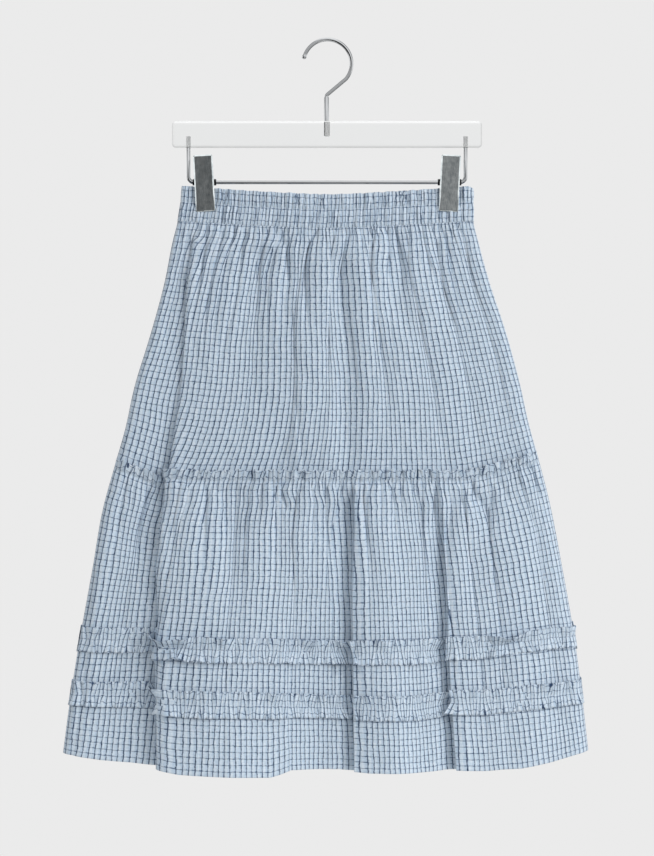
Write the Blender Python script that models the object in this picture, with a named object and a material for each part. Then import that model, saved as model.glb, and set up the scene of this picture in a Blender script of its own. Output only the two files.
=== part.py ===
"""Tiered ruffle skirt hanging from a clear bar hanger with two sprung clips.

The tables and named sizes are in millimetres and the model is built in metres.
Origin: the inner top of the hook's bow, where the hanger is held. +Z is up, -Y is the
garment's front and +X is on the right of someone who faces it. "Down" is the distance
below the origin, measured on the middle line of the garment.
"""

import math
from collections import namedtuple

import bmesh
import bpy
from mathutils import Matrix, Vector

MM = 0.001

# --- cloth -------------------------------------------------------------------------
TIER_WALL = 1.2
WAISTBAND_WALL = 2.6
RUFFLE_WALL = 1.0
SEAM_GAP = 0.3

WAIST_TOP = 168.9
WAIST_STITCH = 185.4
WAIST_BOTTOM = 206.3
TIER_SEAM = 482.9
HEADING_HEIGHT = 11.5
RUFFLE_1 = 669.9
RUFFLE_2 = 729.3
RUFFLE_HALF = 14.5
HEM = 804.7

Level = namedtuple("Level", "down left right front back edge rise rise_from")
# left, right: half widths; front, back: half depths on the middle line; edge: radius
# at the side seams; rise: how far the side seams' points lie above the middle ones,
# and rise_from: the share of the half width where that rise starts.
LEVELS = (
    Level(168.9, 159.0, 160.0, 6.0, 6.0, 3.4, 9.8, 0.00),
    Level(185.4, 160.5, 160.5, 6.2, 6.0, 3.4, 9.0, 0.00),
    Level(206.3, 164.0, 161.0, 8.0, 7.0, 3.8, 8.0, 0.00),
    Level(229.4, 169.9, 166.6, 10.5, 9.0, 4.8, 7.5, 0.10),
    Level(273.4, 178.6, 178.8, 13.0, 11.0, 6.0, 7.5, 0.30),
    Level(328.4, 193.0, 196.4, 15.5, 12.5, 7.0, 9.0, 0.45),
    Level(388.9, 211.2, 211.8, 18.0, 14.0, 8.5, 13.0, 0.55),
    Level(438.4, 221.7, 221.7, 19.5, 15.0, 9.5, 18.0, 0.60),
    Level(482.9, 234.0, 233.0, 21.0, 16.0, 10.0, 21.5, 0.62),
    Level(531.9, 247.0, 245.5, 25.0, 19.0, 11.0, 20.0, 0.62),
    Level(592.4, 257.5, 257.5, 28.5, 21.0, 12.0, 18.0, 0.62),
    Level(669.9, 271.5, 271.5, 31.5, 23.0, 13.0, 16.5, 0.62),
    Level(729.3, 281.0, 279.5, 33.5, 24.0, 14.0, 16.0, 0.61),
    Level(804.7, 290.0, 287.0, 36.0, 26.0, 15.0, 22.0, 0.60),
)
RISE_POWER = 1.4

Tuck = namedtuple("Tuck", "down depth under fold_lift side_lift")
# The deep fold on the front's left, where the middle of the panel lies over its side.
# depth: step down to the side part; under: sideways overlap; fold_lift, side_lift: how
# much higher the side part hangs, at the fold and at the seam.
TUCKS = (
    Tuck(168.9, 0.0, 0.0, 0.0, 0.0),
    Tuck(206.3, 0.8, 0.5, 0.0, 0.0),
    Tuck(229.4, 3.0, 4.5, 0.0, 0.0),
    Tuck(273.4, 5.0, 6.5, 0.0, 0.0),
    Tuck(328.4, 5.5, 6.5, 0.0, 0.0),
    Tuck(388.9, 5.0, 4.0, -3.0, -3.0),
    Tuck(438.4, 6.5, 5.5, -7.0, -6.0),
    Tuck(482.9, 9.0, 8.0, -9.0, -8.0),
    Tuck(531.9, 12.0, 9.5, -5.0, -7.0),
    Tuck(592.4, 13.0, 9.5, 2.0, -7.0),
    Tuck(669.9, 14.0, 9.5, 10.0, -7.0),
    Tuck(729.3, 14.0, 9.0, 11.0, -5.0),
    Tuck(804.7, 14.0, 8.0, 5.0, -1.0),
)
TUCK_TURN = 5.8
TUCK_STEP = 1.8
TUCK_RIDGE = 0.35
TUCK_RIDGE_REACH = 7.0
TUCK_FADE_FROM_SEAM = 0.1

Run = namedtuple("Run", "down tuck middle right")
# Where the three main fold lines of the front lie. The columns of its mesh follow them.
FRONT_RUNS = (
    Run(168.9, -139.0, 17.0, 117.0),
    Run(206.3, -142.5, 18.0, 120.0),
    Run(273.4, -149.5, 21.0, 126.0),
    Run(328.4, -153.0, 23.0, 130.0),
    Run(388.9, -160.0, 25.0, 134.0),
    Run(438.4, -165.5, 26.0, 139.0),
    Run(482.9, -171.5, 26.0, 143.0),
    Run(531.9, -178.5, 25.0, 131.0),
    Run(592.4, -183.0, 25.0, 126.0),
    Run(669.9, -184.0, 26.0, 128.0),
    Run(729.3, -184.0, 27.0, 132.0),
    Run(804.7, -183.0, 27.0, 136.0),
)
BACK_RUNS = (
    Run(168.9, -92.0, -18.0, 76.0),
    Run(482.9, -140.0, -32.0, 98.0),
    Run(804.7, -172.0, -40.0, 112.0),
)

Fold = namedtuple("Fold", "run aside start end width height_start height_end")
# Soft troughs (negative height) and ridges (positive), each beside one of the panel's
# fold lines: aside is its distance to the right of that line.
FRONT_FOLDS = (
    Fold("tuck", 72.0, 225.0, 400.0, 16.0, -3.5, -2.0),
    Fold("middle", -68.0, 206.0, 330.0, 15.0, -4.0, -2.0),
    Fold("middle", -50.0, 260.0, 700.0, 26.0, 3.0, 5.0),
    Fold("middle", 0.0, 225.0, 480.0, 15.0, -2.5, -4.5),
    Fold("right", -50.0, 206.0, 330.0, 14.0, -4.5, -2.0),
    Fold("right", 0.0, 206.0, 340.0, 11.0, -3.5, -2.0),
    Fold("middle", 0.0, 484.0, 805.0, 12.0, -8.0, -5.0),
    Fold("right", 0.0, 484.0, 805.0, 12.0, -8.0, -8.0),
    Fold("right", 40.0, 500.0, 640.0, 16.0, -5.0, -3.0),
    Fold("tuck", 76.0, 484.0, 620.0, 18.0, -4.0, -2.0),
    Fold("tuck", 72.0, 540.0, 805.0, 46.0, 4.0, 15.0),
    Fold("middle", -32.0, 600.0, 805.0, 26.0, -3.0, -7.0),
    Fold("middle", 56.0, 520.0, 805.0, 30.0, 3.0, 9.0),
    Fold("right", 84.0, 540.0, 805.0, 30.0, 2.0, 5.0),
)
BACK_FOLDS = (
    Fold("tuck", 0.0, 206.0, 805.0, 14.0, -3.5, -7.0),
    Fold("middle", 0.0, 206.0, 805.0, 14.0, -3.5, -7.0),
    Fold("right", 0.0, 206.0, 805.0, 14.0, -3.5, -7.0),
    Fold("tuck", 52.0, 484.0, 805.0, 30.0, 3.0, 9.0),
    Fold("middle", 62.0, 520.0, 805.0, 34.0, 3.0, 9.0),
    Fold("right", 62.0, 520.0, 805.0, 30.0, 3.0, 8.0),
    Fold("tuck", -40.0, 484.0, 805.0, 24.0, 2.0, 5.0),
)
FOLD_START_SHARE = 0.08
FOLD_FADE_SHARE = 0.35
FOLD_RUNS_OUT_ABOVE_HEM = 20.0
SEAM_CALM_SHARE = 0.14

# Gathers: each wave takes a whole number of columns of its piece.
COLUMNS_PER_HEADING_WAVE = 3
COLUMNS_PER_RUFFLE_WAVE = 4
COLUMNS_PER_WAISTBAND_WAVE = 4
COLUMNS_PER_WAIST_GATHER = 2
HEADING_FLARE = 4.6
GATHER_SWELL = 2.4
RUFFLE_FLARE = 1.2
RUFFLE_WAVE = 4.6
WAISTBAND_WAVE = 0.9
WAIST_GATHER = 2.2
# How strong the gathers are at each row of the piece, from its top down.
WAISTBAND_SWELL = (1.0, 0.45, 0.8)
WAIST_GATHER_SWELL = (0.8, 1.0, 0.7, 0.3)
HEADING_SWELL = (HEADING_FLARE, 0.0, GATHER_SWELL, 0.6 * GATHER_SWELL)
# Columns closer than the first distance carry no wave, further than the second a full one.
WAVE_ROOM_LEAST = 0.84
WAVE_ROOM = 2.8
# The clips press the waistband flat this near to their middle lines.
GRIP_FLAT = 15.0
GRIP_END = 24.0

# --- hanger ------------------------------------------------------------------------
BAR_WIDTH = 341.0
BAR_TOP = 87.4
BAR_HEIGHT = 29.7
BAR_THICKNESS = 10.0
BAR_CORNER = 3.0

HOOK_WIRE = 4.4
HOOK_BOW_RADIUS = 26.5
HOOK_BOW_CENTRE_X = 0.5
HOOK_TIP_ANGLE = 160.0
HOOK_END_ANGLE = -38.0
HOOK_TIP_BALL = 5.2
# The rounded tip's rings: distance before the bow's start and radius, in ball radii.
HOOK_TIP_RINGS = ((1.2, 0.35), (0.9, 0.85), (0.3, 1.0))
HOOK_NECK_X = 0.0
HOOK_NECK_DOWN = 58.5
HOOK_SHAFT = 5.6
HOOK_SHAFT_BOTTOM = 104.0

RAIL_WIRE = 4.4
RAIL_HALF_WIDTH = 152.4
RAIL_DOWN = 154.9
RAIL_CORNER = 6.0
RAIL_LEG_TOP = 105.0
SOCKET_GAP = 0.3
DRILL_REACH = 4.0

CLIP_WIDTH = 21.5
CLIP_SHEET = 1.0
CLIP_LIP = 3.0
CLIP_ABOVE = 29.0
CLIP_BELOW = 33.0
CLIP_TOP_OUT = 14.0
CLIP_BOTTOM_OUT = 8.7
CLIP_EAR = 4.8
CLIP_EAR_ROOM = 0.6
CLIP_HOLLOW_REACH = 40.0
CLIP_LEAN = 2.9
CLIP_X = 134.8
SLEEVE_OUTER = 7.0
SLEEVE_OVERHANG = 2.2
SPRING_OUTER = 9.4
SPRING_LENGTH = 12.0
RUNNING_GAP = 0.3


# --- small helpers -----------------------------------------------------------------
def clamp(value, low=0.0, high=1.0):
    return max(low, min(high, value))


def smooth(start, end, value):
    """0 before start, 1 after end, and an even S between them."""
    share = clamp((value - start) / (end - start))
    return share * share * (3.0 - 2.0 * share)


def row_at(table, down):
    """The table's row at any height, on a smooth curve through its rows."""
    down = clamp(down, table[0].down, table[-1].down)
    index = 0
    while index < len(table) - 2 and table[index + 1].down < down:
        index += 1
    before = table[max(index - 1, 0)]
    low, high = table[index], table[index + 1]
    after = table[min(index + 2, len(table) - 1)]
    span = high.down - low.down
    share = (down - low.down) / span
    values = []
    for column in range(len(low)):
        slope_low = (high[column] - before[column]) / (high.down - before.down) * span
        slope_high = (after[column] - low[column]) / (after.down - low.down) * span
        rise = high[column] - low[column]
        values.append(
            low[column]
            + share * slope_low
            + share ** 2 * (3.0 * rise - 2.0 * slope_low - slope_high)
            + share ** 3 * (slope_low + slope_high - 2.0 * rise)
        )
    return type(low)(*values)


def principled(name, colour, roughness, metallic=0.0, transmission=0.0):
    material = bpy.data.materials.new(name)
    material.use_nodes = True
    shader = material.node_tree.nodes["Principled BSDF"]
    shader.inputs["Base Color"].default_value = (*colour, 1.0)
    shader.inputs["Roughness"].default_value = roughness
    shader.inputs["Metallic"].default_value = metallic
    shader.inputs["Transmission Weight"].default_value = transmission
    material.diffuse_color = (*colour, 1.0)
    return material


def add_object(name, mesh, material, parent, smooth_angle=None):
    mesh.materials.append(material)
    if smooth_angle is not None:
        mesh.shade_smooth()
        mesh.set_sharp_from_angle(angle=math.radians(smooth_angle))
    made = bpy.data.objects.new(name, mesh)
    bpy.context.scene.collection.objects.link(made)
    made.parent = parent
    return made


def mesh_from(shape, name):
    """Turn a bmesh into a mesh with its faces pointing out."""
    bmesh.ops.recalc_face_normals(shape, faces=shape.faces)
    mesh = bpy.data.meshes.new(name)
    shape.to_mesh(mesh)
    shape.free()
    return mesh


# --- the cloth's form --------------------------------------------------------------
def fold_relief(folds, runs, x, down):
    """Height of the soft folds at one place of a panel."""
    total = 0.0
    for fold in folds:
        if not fold.start < down <= fold.end + 1.0:
            continue
        share = (down - fold.start) / (fold.end - fold.start)
        middle = getattr(runs, fold.run) + fold.aside
        height = fold.height_start + share * (fold.height_end - fold.height_start)
        fade_in = smooth(0.0, FOLD_START_SHARE, share)
        runs_out = fold.end < HEM - FOLD_RUNS_OUT_ABOVE_HEM
        fade_out = 1.0 - smooth(1.0 - FOLD_FADE_SHARE, 1.0, share) if runs_out else 1.0
        total += height * fade_in * fade_out * math.exp(-((x - middle) / fold.width) ** 2)
    return total


def tuck_shift(turn):
    """Sideways push across the deep fold: the two layers slide over each other."""
    return turn * math.exp((1.0 - turn * turn) / 2.0)


# The columns of a panel, from its left seam to its right one: how many lie evenly in
# each stretch, and how far to each side of a fold line the close ones lie.
SIDE_COLUMNS = 6
LEFT_COLUMNS = 11
MIDDLE_COLUMNS = 6
RIGHT_COLUMNS = 8
TUCK_COLUMNS = (-2.4, -1.6, -1.1, -0.7, -0.25, 0.25, 0.7, 1.1, 1.6, 2.4)
CREASE_COLUMNS = (-14.0, -7.0, 0.0, 7.0, 14.0)
SEAM_CROWDING = 1.5


def column_places(quarter, centre, runs):
    """Distance of each column along the panel from its middle, at one height."""
    tuck = [runs.tuck - centre + turn * TUCK_TURN for turn in TUCK_COLUMNS]
    middle = [runs.middle - centre + aside for aside in CREASE_COLUMNS]
    right = [runs.right - centre + aside for aside in CREASE_COLUMNS]
    places = []
    stretches = (
        (-quarter, tuck, SIDE_COLUMNS, lambda share: share ** SEAM_CROWDING),
        (tuck[-1], middle, LEFT_COLUMNS, lambda share: share),
        (middle[-1], right, MIDDLE_COLUMNS, lambda share: share),
        (right[-1], [quarter], RIGHT_COLUMNS, lambda share: 1.0 - (1.0 - share) ** SEAM_CROWDING),
    )
    for start, group, count, spread in stretches:
        places += [start + (group[0] - start) * spread(step / count) for step in range(count)]
        places += group[:-1]
    return places + [quarter]


COLUMN_COUNT = (
    SIDE_COLUMNS + LEFT_COLUMNS + MIDDLE_COLUMNS + RIGHT_COLUMNS
    + len(TUCK_COLUMNS) + 2 * len(CREASE_COLUMNS) - 3
)


def skin_row(front, down):
    """One row of points on the cloth's middle surface, in millimetres."""
    level = row_at(LEVELS, down)
    tuck = row_at(TUCKS, down)
    runs = row_at(FRONT_RUNS if front else BACK_RUNS, down)
    half = (level.left + level.right) / 2.0
    centre = (level.right - level.left) / 2.0
    flat = half - level.edge
    quarter = flat + level.edge * math.pi / 2.0
    crown = (level.front if front else level.back) - level.edge
    side = -1.0 if front else 1.0

    row = []
    for along in column_places(quarter, centre, runs):
        x = clamp(along, -flat, flat)
        turn = (along - x) / level.edge
        x += level.edge * math.sin(turn)
        depth = level.edge * math.cos(turn) + crown * (1.0 - (x / half) ** 2) ** 2
        away = abs(x) / half
        start = level.rise_from
        rise = level.rise * clamp((away - start) / (1.0 - start)) ** RISE_POWER
        calm = smooth(0.0, SEAM_CALM_SHARE, 1.0 - abs(along) / quarter)
        relief = calm * fold_relief(FRONT_FOLDS if front else BACK_FOLDS, runs, x + centre, down)
        push = 0.0
        if front:
            across = (x + centre - runs.tuck) / TUCK_TURN
            on_side = 1.0 - smooth(-TUCK_STEP, TUCK_STEP, across)
            to_seam = clamp((runs.tuck - centre - x) / (half + runs.tuck - centre))
            relief -= tuck.depth * on_side * (1.0 - smooth(TUCK_FADE_FROM_SEAM, 1.0, to_seam))
            ridge = (1.0 - on_side) * math.exp(-(across / TUCK_RIDGE_REACH) ** 2)
            relief += TUCK_RIDGE * tuck.depth * ridge
            push = -tuck.under * tuck_shift(across)
            rise += on_side * (tuck.fold_lift + to_seam * (tuck.side_lift - tuck.fold_lift))
        outward = Vector((math.sin(turn), side * math.cos(turn), 0.0))
        place = Vector((centre + x + push, side * depth, rise - down))
        row.append(place + outward * relief)
    return row


def panel_points(front, downs):
    """Rows of skin points, one row for each height."""
    return [skin_row(front, down) for down in downs]


def refined(rows):
    """The same rows with a point added halfway between each two columns."""
    finer = []
    for row in rows:
        line = []
        for start, end in zip(row, row[1:]):
            line += [start, (start + end) / 2.0]
        finer.append(line + [row[-1]])
    return finer


def outward_directions(rows, front):
    """Unit normals of a grid of points, pointing out of the garment."""
    last_row = len(rows) - 1
    last_column = len(rows[0]) - 1
    directions = []
    for i, row in enumerate(rows):
        line = []
        for j in range(len(row)):
            across = row[min(j + 1, last_column)] - row[max(j - 1, 0)]
            drop = rows[min(i + 1, last_row)][j] - rows[max(i - 1, 0)][j]
            normal = drop.cross(across) if front else across.cross(drop)
            line.append(normal.normalized())
        directions.append(line)
    return directions


def moved_out(rows, directions, offset):
    """Points moved along their directions by offset(row, column) millimetres."""
    return [
        [place + directions[i][j] * offset(i, j) for j, place in enumerate(row)]
        for i, row in enumerate(rows)
    ]


def wall_mesh(name, rows, front, thickness):
    """A closed wall of even thickness round a grid of points."""
    directions = outward_directions(rows, front)
    seam_y = (-SEAM_GAP if front else SEAM_GAP) / 2.0
    layers = []
    for half in (thickness / 2.0, -thickness / 2.0):
        layer = moved_out(rows, directions, lambda i, j: half)
        for line in layer:
            line[0].y = seam_y
            line[-1].y = seam_y
        layers.append(layer)

    shape = bmesh.new()
    outer, inner = ([[shape.verts.new(p * MM) for p in line] for line in layer] for layer in layers)
    row_count = len(rows)
    column_count = len(rows[0])
    for i in range(row_count - 1):
        for j in range(column_count - 1):
            for grid in (outer, inner):
                shape.faces.new((grid[i][j], grid[i][j + 1], grid[i + 1][j + 1], grid[i + 1][j]))
        for j in (0, column_count - 1):
            shape.faces.new((outer[i][j], inner[i][j], inner[i + 1][j], outer[i + 1][j]))
    for i in (0, row_count - 1):
        for j in range(column_count - 1):
            shape.faces.new((outer[i][j], outer[i][j + 1], inner[i][j + 1], inner[i][j]))
    return mesh_from(shape, name)


def wave(column, columns_per_wave):
    """A gather's wave, 0 to 1, taller and lower by turns along the piece."""
    swing = 0.5 - 0.5 * math.cos(2.0 * math.pi * column / columns_per_wave)
    return swing * (0.8 + 0.2 * math.sin(0.83 * column) * math.cos(0.31 * column))


def near_tuck(column, columns, front):
    """0 inside the deep fold and 1 away from it, so that the layers there stay apart."""
    if not front:
        return 1.0
    place = column / columns * COLUMN_COUNT
    first = SIDE_COLUMNS
    last = SIDE_COLUMNS + len(TUCK_COLUMNS) - 1
    return smooth(-1.0, 1.0, max(first - place, place - last))


def near_side(column, columns):
    """0 at the side seams and 1 away from them."""
    return smooth(0.0, 2.0, min(column, columns - column) / columns * COLUMN_COUNT)


def calmed(row, column, front):
    """How freely a gather may swing: less in the deep fold, at seams and on close columns."""
    columns = len(row) - 1
    low, high = max(column - 1, 0), min(column + 1, columns)
    room = (row[high] - row[low]).length / (high - low)
    free = smooth(WAVE_ROOM_LEAST, WAVE_ROOM, room)
    return free * near_tuck(column, columns, front) * near_side(column, columns)


# --- cloth pieces ------------------------------------------------------------------
def build_waistband(front, material, parent):
    rows = refined(panel_points(front, (WAIST_TOP, WAIST_STITCH, WAIST_BOTTOM - SEAM_GAP)))
    directions = outward_directions(rows, front)

    def offset(i, j):
        free = smooth(GRIP_FLAT, GRIP_END, abs(abs(rows[i][j].x) - CLIP_X))
        ripple = 2.0 * wave(j, COLUMNS_PER_WAISTBAND_WAVE) - 1.0
        return WAISTBAND_WAVE * WAISTBAND_SWELL[i] * ripple * free * calmed(rows[i], j, False)

    name = "waistband_front" if front else "waistband_back"
    mesh = wall_mesh(name, moved_out(rows, directions, offset), front, WAISTBAND_WALL)
    return add_object(name, mesh, material, parent, 60)


UPPER_DOWNS = (
    WAIST_BOTTOM,
    222.0,
    250.0,
    295.0,
    350.0,
    415.0,
    TIER_SEAM - HEADING_HEIGHT,
    TIER_SEAM,
)


def build_upper_tier(front, material, parent):
    rows = panel_points(front, UPPER_DOWNS)
    directions = outward_directions(rows, front)

    def offset(i, j):
        if i >= len(WAIST_GATHER_SWELL):
            return 0.0
        ripple = wave(j, COLUMNS_PER_WAIST_GATHER) - 0.5
        return WAIST_GATHER * WAIST_GATHER_SWELL[i] * ripple * calmed(rows[i], j, front)

    name = "upper_tier_front" if front else "upper_tier_back"
    mesh = wall_mesh(name, moved_out(rows, directions, offset), front, TIER_WALL)
    return add_object(name, mesh, material, parent, 60)


LOWER_DOWNS = (
    TIER_SEAM - HEADING_HEIGHT,
    TIER_SEAM,
    TIER_SEAM + 12.0,
    TIER_SEAM + 42.0,
    TIER_SEAM + 95.0,
    RUFFLE_1 - RUFFLE_HALF,
    RUFFLE_1,
    RUFFLE_1 + RUFFLE_HALF,
    RUFFLE_2 - RUFFLE_HALF,
    RUFFLE_2,
    RUFFLE_2 + RUFFLE_HALF,
    HEM,
)


def lower_tier_points(front):
    """The lower tier lies outside the upper one, gathered at the seam between them."""
    rows = panel_points(front, LOWER_DOWNS)
    directions = outward_directions(rows, front)

    def offset(i, j):
        gathered = 0.0
        if i < len(HEADING_SWELL):
            gathered = HEADING_SWELL[i] * wave(j, COLUMNS_PER_HEADING_WAVE)
        return TIER_WALL + SEAM_GAP + gathered * calmed(rows[i], j, front)

    return moved_out(rows, directions, offset)


def build_lower_tier(front, material, parent):
    name = "lower_tier_front" if front else "lower_tier_back"
    mesh = wall_mesh(name, lower_tier_points(front), front, TIER_WALL)
    return add_object(name, mesh, material, parent, 60)


def build_ruffle(number, front, material, parent):
    """A double-edged strip: close to the tier on its stitch line, flared at both edges."""
    first = LOWER_DOWNS.index({1: RUFFLE_1, 2: RUFFLE_2}[number]) - 1
    tier = lower_tier_points(front)
    rows = refined(tier[first:first + 3])
    directions = refined(outward_directions(tier, front)[first:first + 3])
    seat = (TIER_WALL + RUFFLE_WALL) / 2.0 + SEAM_GAP
    stitched = moved_out(rows, directions, lambda i, j: seat)

    strip = []
    for i, row in enumerate(stitched):
        line = []
        for j, edge in enumerate(row):
            ripple = wave(j + 2 * number + i, COLUMNS_PER_RUFFLE_WAVE)
            flare = RUFFLE_FLARE + RUFFLE_WAVE * ripple
            flare *= calmed(rows[i], j, front) * abs(i - 1)
            drawn_in = math.sqrt(1.0 - (flare / RUFFLE_HALF) ** 2)
            middle = stitched[1][j]
            line.append(middle + (edge - middle) * drawn_in + directions[i][j] * flare)
        strip.append(line)

    name = "ruffle_{}_{}".format(number, "front" if front else "back")
    return add_object(name, wall_mesh(name, strip, front, RUFFLE_WALL), material, parent, 60)


# --- hanger pieces -----------------------------------------------------------------
def box_shape(width, depth, height, centre):
    shape = bmesh.new()
    bmesh.ops.create_cube(shape, size=1.0)
    size = Matrix.Diagonal((width * MM, depth * MM, height * MM, 1.0))
    bmesh.ops.transform(shape, matrix=Matrix.Translation(centre * MM) @ size, verts=shape.verts)
    return shape


def cylinder_shape(diameter, length, centre, axis, segments=16):
    shape = bmesh.new()
    radius = diameter / 2.0 * MM
    bmesh.ops.create_cone(
        shape, cap_ends=True, segments=segments, radius1=radius, radius2=radius, depth=length * MM
    )
    turn = Vector((0.0, 0.0, 1.0)).rotation_difference(axis).to_matrix().to_4x4()
    bmesh.ops.transform(shape, matrix=Matrix.Translation(centre * MM) @ turn, verts=shape.verts)
    return shape


def add_cutter(name, shape, parent):
    cutter = bpy.data.objects.new(name, mesh_from(shape, name))
    bpy.context.scene.collection.objects.link(cutter)
    cutter.parent = parent
    cutter.hide_render = True
    cutter.display_type = "WIRE"
    return cutter


def cut(target, cutter):
    modifier = target.modifiers.new("cut " + cutter.name, "BOOLEAN")
    modifier.operation = "DIFFERENCE"
    modifier.solver = "EXACT"
    modifier.object = cutter


def wire_mesh(name, route, radii, sides=10):
    """A round wire swept along a flat route in the XZ plane, with capped ends."""
    shape = bmesh.new()
    rings = []
    for index, place in enumerate(route):
        before = route[max(index - 1, 0)]
        after = route[min(index + 1, len(route) - 1)]
        heading = (after - before).normalized()
        sideways = Vector((0.0, 1.0, 0.0))
        upright = heading.cross(sideways)
        ring = []
        for side in range(sides):
            angle = 2.0 * math.pi * side / sides
            spoke = math.cos(angle) * sideways + math.sin(angle) * upright
            ring.append(shape.verts.new((place + spoke * radii[index]) * MM))
        rings.append(ring)
    for ring, following in zip(rings, rings[1:]):
        for side in range(sides):
            other = (side + 1) % sides
            shape.faces.new((ring[side], ring[other], following[other], following[side]))
    shape.faces.new(rings[0])
    shape.faces.new(rings[-1])
    return mesh_from(shape, name)


def arc_points(centre, radius, start, end, steps):
    """Points on an arc in the XZ plane, from start to end in degrees."""
    points = []
    for step in range(steps + 1):
        angle = math.radians(start + (end - start) * step / steps)
        points.append(centre + Vector((radius * math.cos(angle), 0.0, radius * math.sin(angle))))
    return points


def build_hook(material, parent):
    centre = Vector((HOOK_BOW_CENTRE_X, 0.0, HOOK_WIRE / 2.0 - HOOK_BOW_RADIUS))
    bow = arc_points(centre, HOOK_BOW_RADIUS, HOOK_TIP_ANGLE, HOOK_END_ANGLE, 18)
    wire = HOOK_WIRE / 2.0
    ball = HOOK_TIP_BALL / 2.0
    inward = (bow[1] - bow[0]).normalized()
    tip = [bow[0] - inward * ball * before for before, share in HOOK_TIP_RINGS]
    tip_radii = [ball * share for before, share in HOOK_TIP_RINGS]
    neck = Vector((HOOK_NECK_X, 0.0, -HOOK_NECK_DOWN))
    towards = (neck - bow[-1]).normalized()
    bend = [neck - towards * 3.0, neck - towards * 0.8, neck + Vector((0.0, 0.0, -2.4))]
    shaft = HOOK_SHAFT / 2.0
    shaft_route = [
        neck + Vector((0.0, 0.0, -5.0)),
        Vector((HOOK_NECK_X, 0.0, 1.0 - HOOK_SHAFT_BOTTOM)),
        Vector((HOOK_NECK_X, 0.0, -HOOK_SHAFT_BOTTOM)),
    ]
    route = tip + bow + bend + shaft_route
    radii = tip_radii + [wire] * len(bow) + [wire, wire, shaft * 0.93] + [shaft, shaft, shaft - 0.8]
    return add_object("hanger_hook", wire_mesh("hanger_hook", route, radii), material, parent, 50)


def rail_route():
    """One bent wire: up a leg, down and along under the bar, and up the other leg."""
    inner = RAIL_HALF_WIDTH - RAIL_CORNER
    low = RAIL_CORNER - RAIL_DOWN
    left = arc_points(Vector((-inner, 0.0, low)), RAIL_CORNER, 180.0, 270.0, 5)
    right = arc_points(Vector((inner, 0.0, low)), RAIL_CORNER, 270.0, 360.0, 5)
    top_left = Vector((-RAIL_HALF_WIDTH, 0.0, -RAIL_LEG_TOP))
    top_right = Vector((RAIL_HALF_WIDTH, 0.0, -RAIL_LEG_TOP))
    return [top_left] + left + right + [top_right]


def build_rail(material, parent):
    route = rail_route()
    radii = [RAIL_WIRE / 2.0] * len(route)
    return add_object("clip_rail", wire_mesh("clip_rail", route, radii), material, parent, 50)


def build_bar(material, parent):
    """The clear bar, drilled from above for the hook and from below for the rail."""
    middle = Vector((0.0, 0.0, -BAR_TOP - BAR_HEIGHT / 2.0))
    mesh = mesh_from(box_shape(BAR_WIDTH, BAR_THICKNESS, BAR_HEIGHT, middle), "hanger_bar")
    bar = add_object("hanger_bar", mesh, material, parent, 35)
    rounding = bar.modifiers.new("rounded edges", "BEVEL")
    rounding.width = BAR_CORNER * MM
    rounding.segments = 2
    hook_depth = HOOK_SHAFT_BOTTOM + SOCKET_GAP - BAR_TOP
    hook_centre = Vector((HOOK_NECK_X, 0.0, -BAR_TOP - hook_depth / 2.0 + DRILL_REACH / 2.0))
    hook_hole = cylinder_shape(
        HOOK_SHAFT + 2.0 * SOCKET_GAP, hook_depth + DRILL_REACH, hook_centre, Vector((0.0, 0.0, 1.0))
    )
    cut(bar, add_cutter("hook_socket", hook_hole, parent))
    leg_depth = BAR_TOP + BAR_HEIGHT - RAIL_LEG_TOP + SOCKET_GAP
    for side, label in ((-1.0, "left"), (1.0, "right")):
        centre = Vector((
            side * RAIL_HALF_WIDTH,
            0.0,
            -BAR_TOP - BAR_HEIGHT + leg_depth / 2.0 - DRILL_REACH / 2.0,
        ))
        hole = cylinder_shape(
            RAIL_WIRE + 2.0 * SOCKET_GAP, leg_depth + DRILL_REACH, centre, Vector((0.0, 0.0, 1.0))
        )
        cut(bar, add_cutter("rail_socket_" + label, hole, parent))
    return bar


def jaw_profile(outward, ear_steps=8):
    """Side outline of a jaw in (y, z) round the pivot: face, lips and rounded ears."""
    top = (CLIP_TOP_OUT, CLIP_ABOVE)
    bottom = (CLIP_BOTTOM_OUT, -CLIP_BELOW)
    slope = (top[0] - bottom[0]) / (top[1] - bottom[1])

    def lip_y(z):
        return bottom[0] + (z - bottom[1]) * slope - CLIP_LIP

    ear = []
    for step in range(ear_steps + 1):
        angle = math.radians(-45.0 - 270.0 * step / ear_steps)
        ear.append((CLIP_EAR * math.cos(angle), CLIP_EAR * math.sin(angle)))
    shoulder = CLIP_EAR + CLIP_EAR_ROOM
    outline = [top, bottom, (bottom[0] - CLIP_LIP, bottom[1]), (lip_y(-shoulder), -shoulder)]
    outline += ear
    outline += [(lip_y(shoulder), shoulder), (top[0] - CLIP_LIP, top[1])]
    return [(outward * y, z) for y, z in outline]


def jaw_shape(outward, width):
    shape = bmesh.new()
    outline = jaw_profile(outward)
    near = [shape.verts.new(Vector((-width / 2.0, y, z)) * MM) for y, z in outline]
    far = [shape.verts.new(Vector((width / 2.0, y, z)) * MM) for y, z in outline]
    shape.faces.new(near)
    shape.faces.new(far)
    for index in range(len(outline)):
        following = (index + 1) % len(outline)
        shape.faces.new((near[index], near[following], far[following], far[index]))
    return shape


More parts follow.
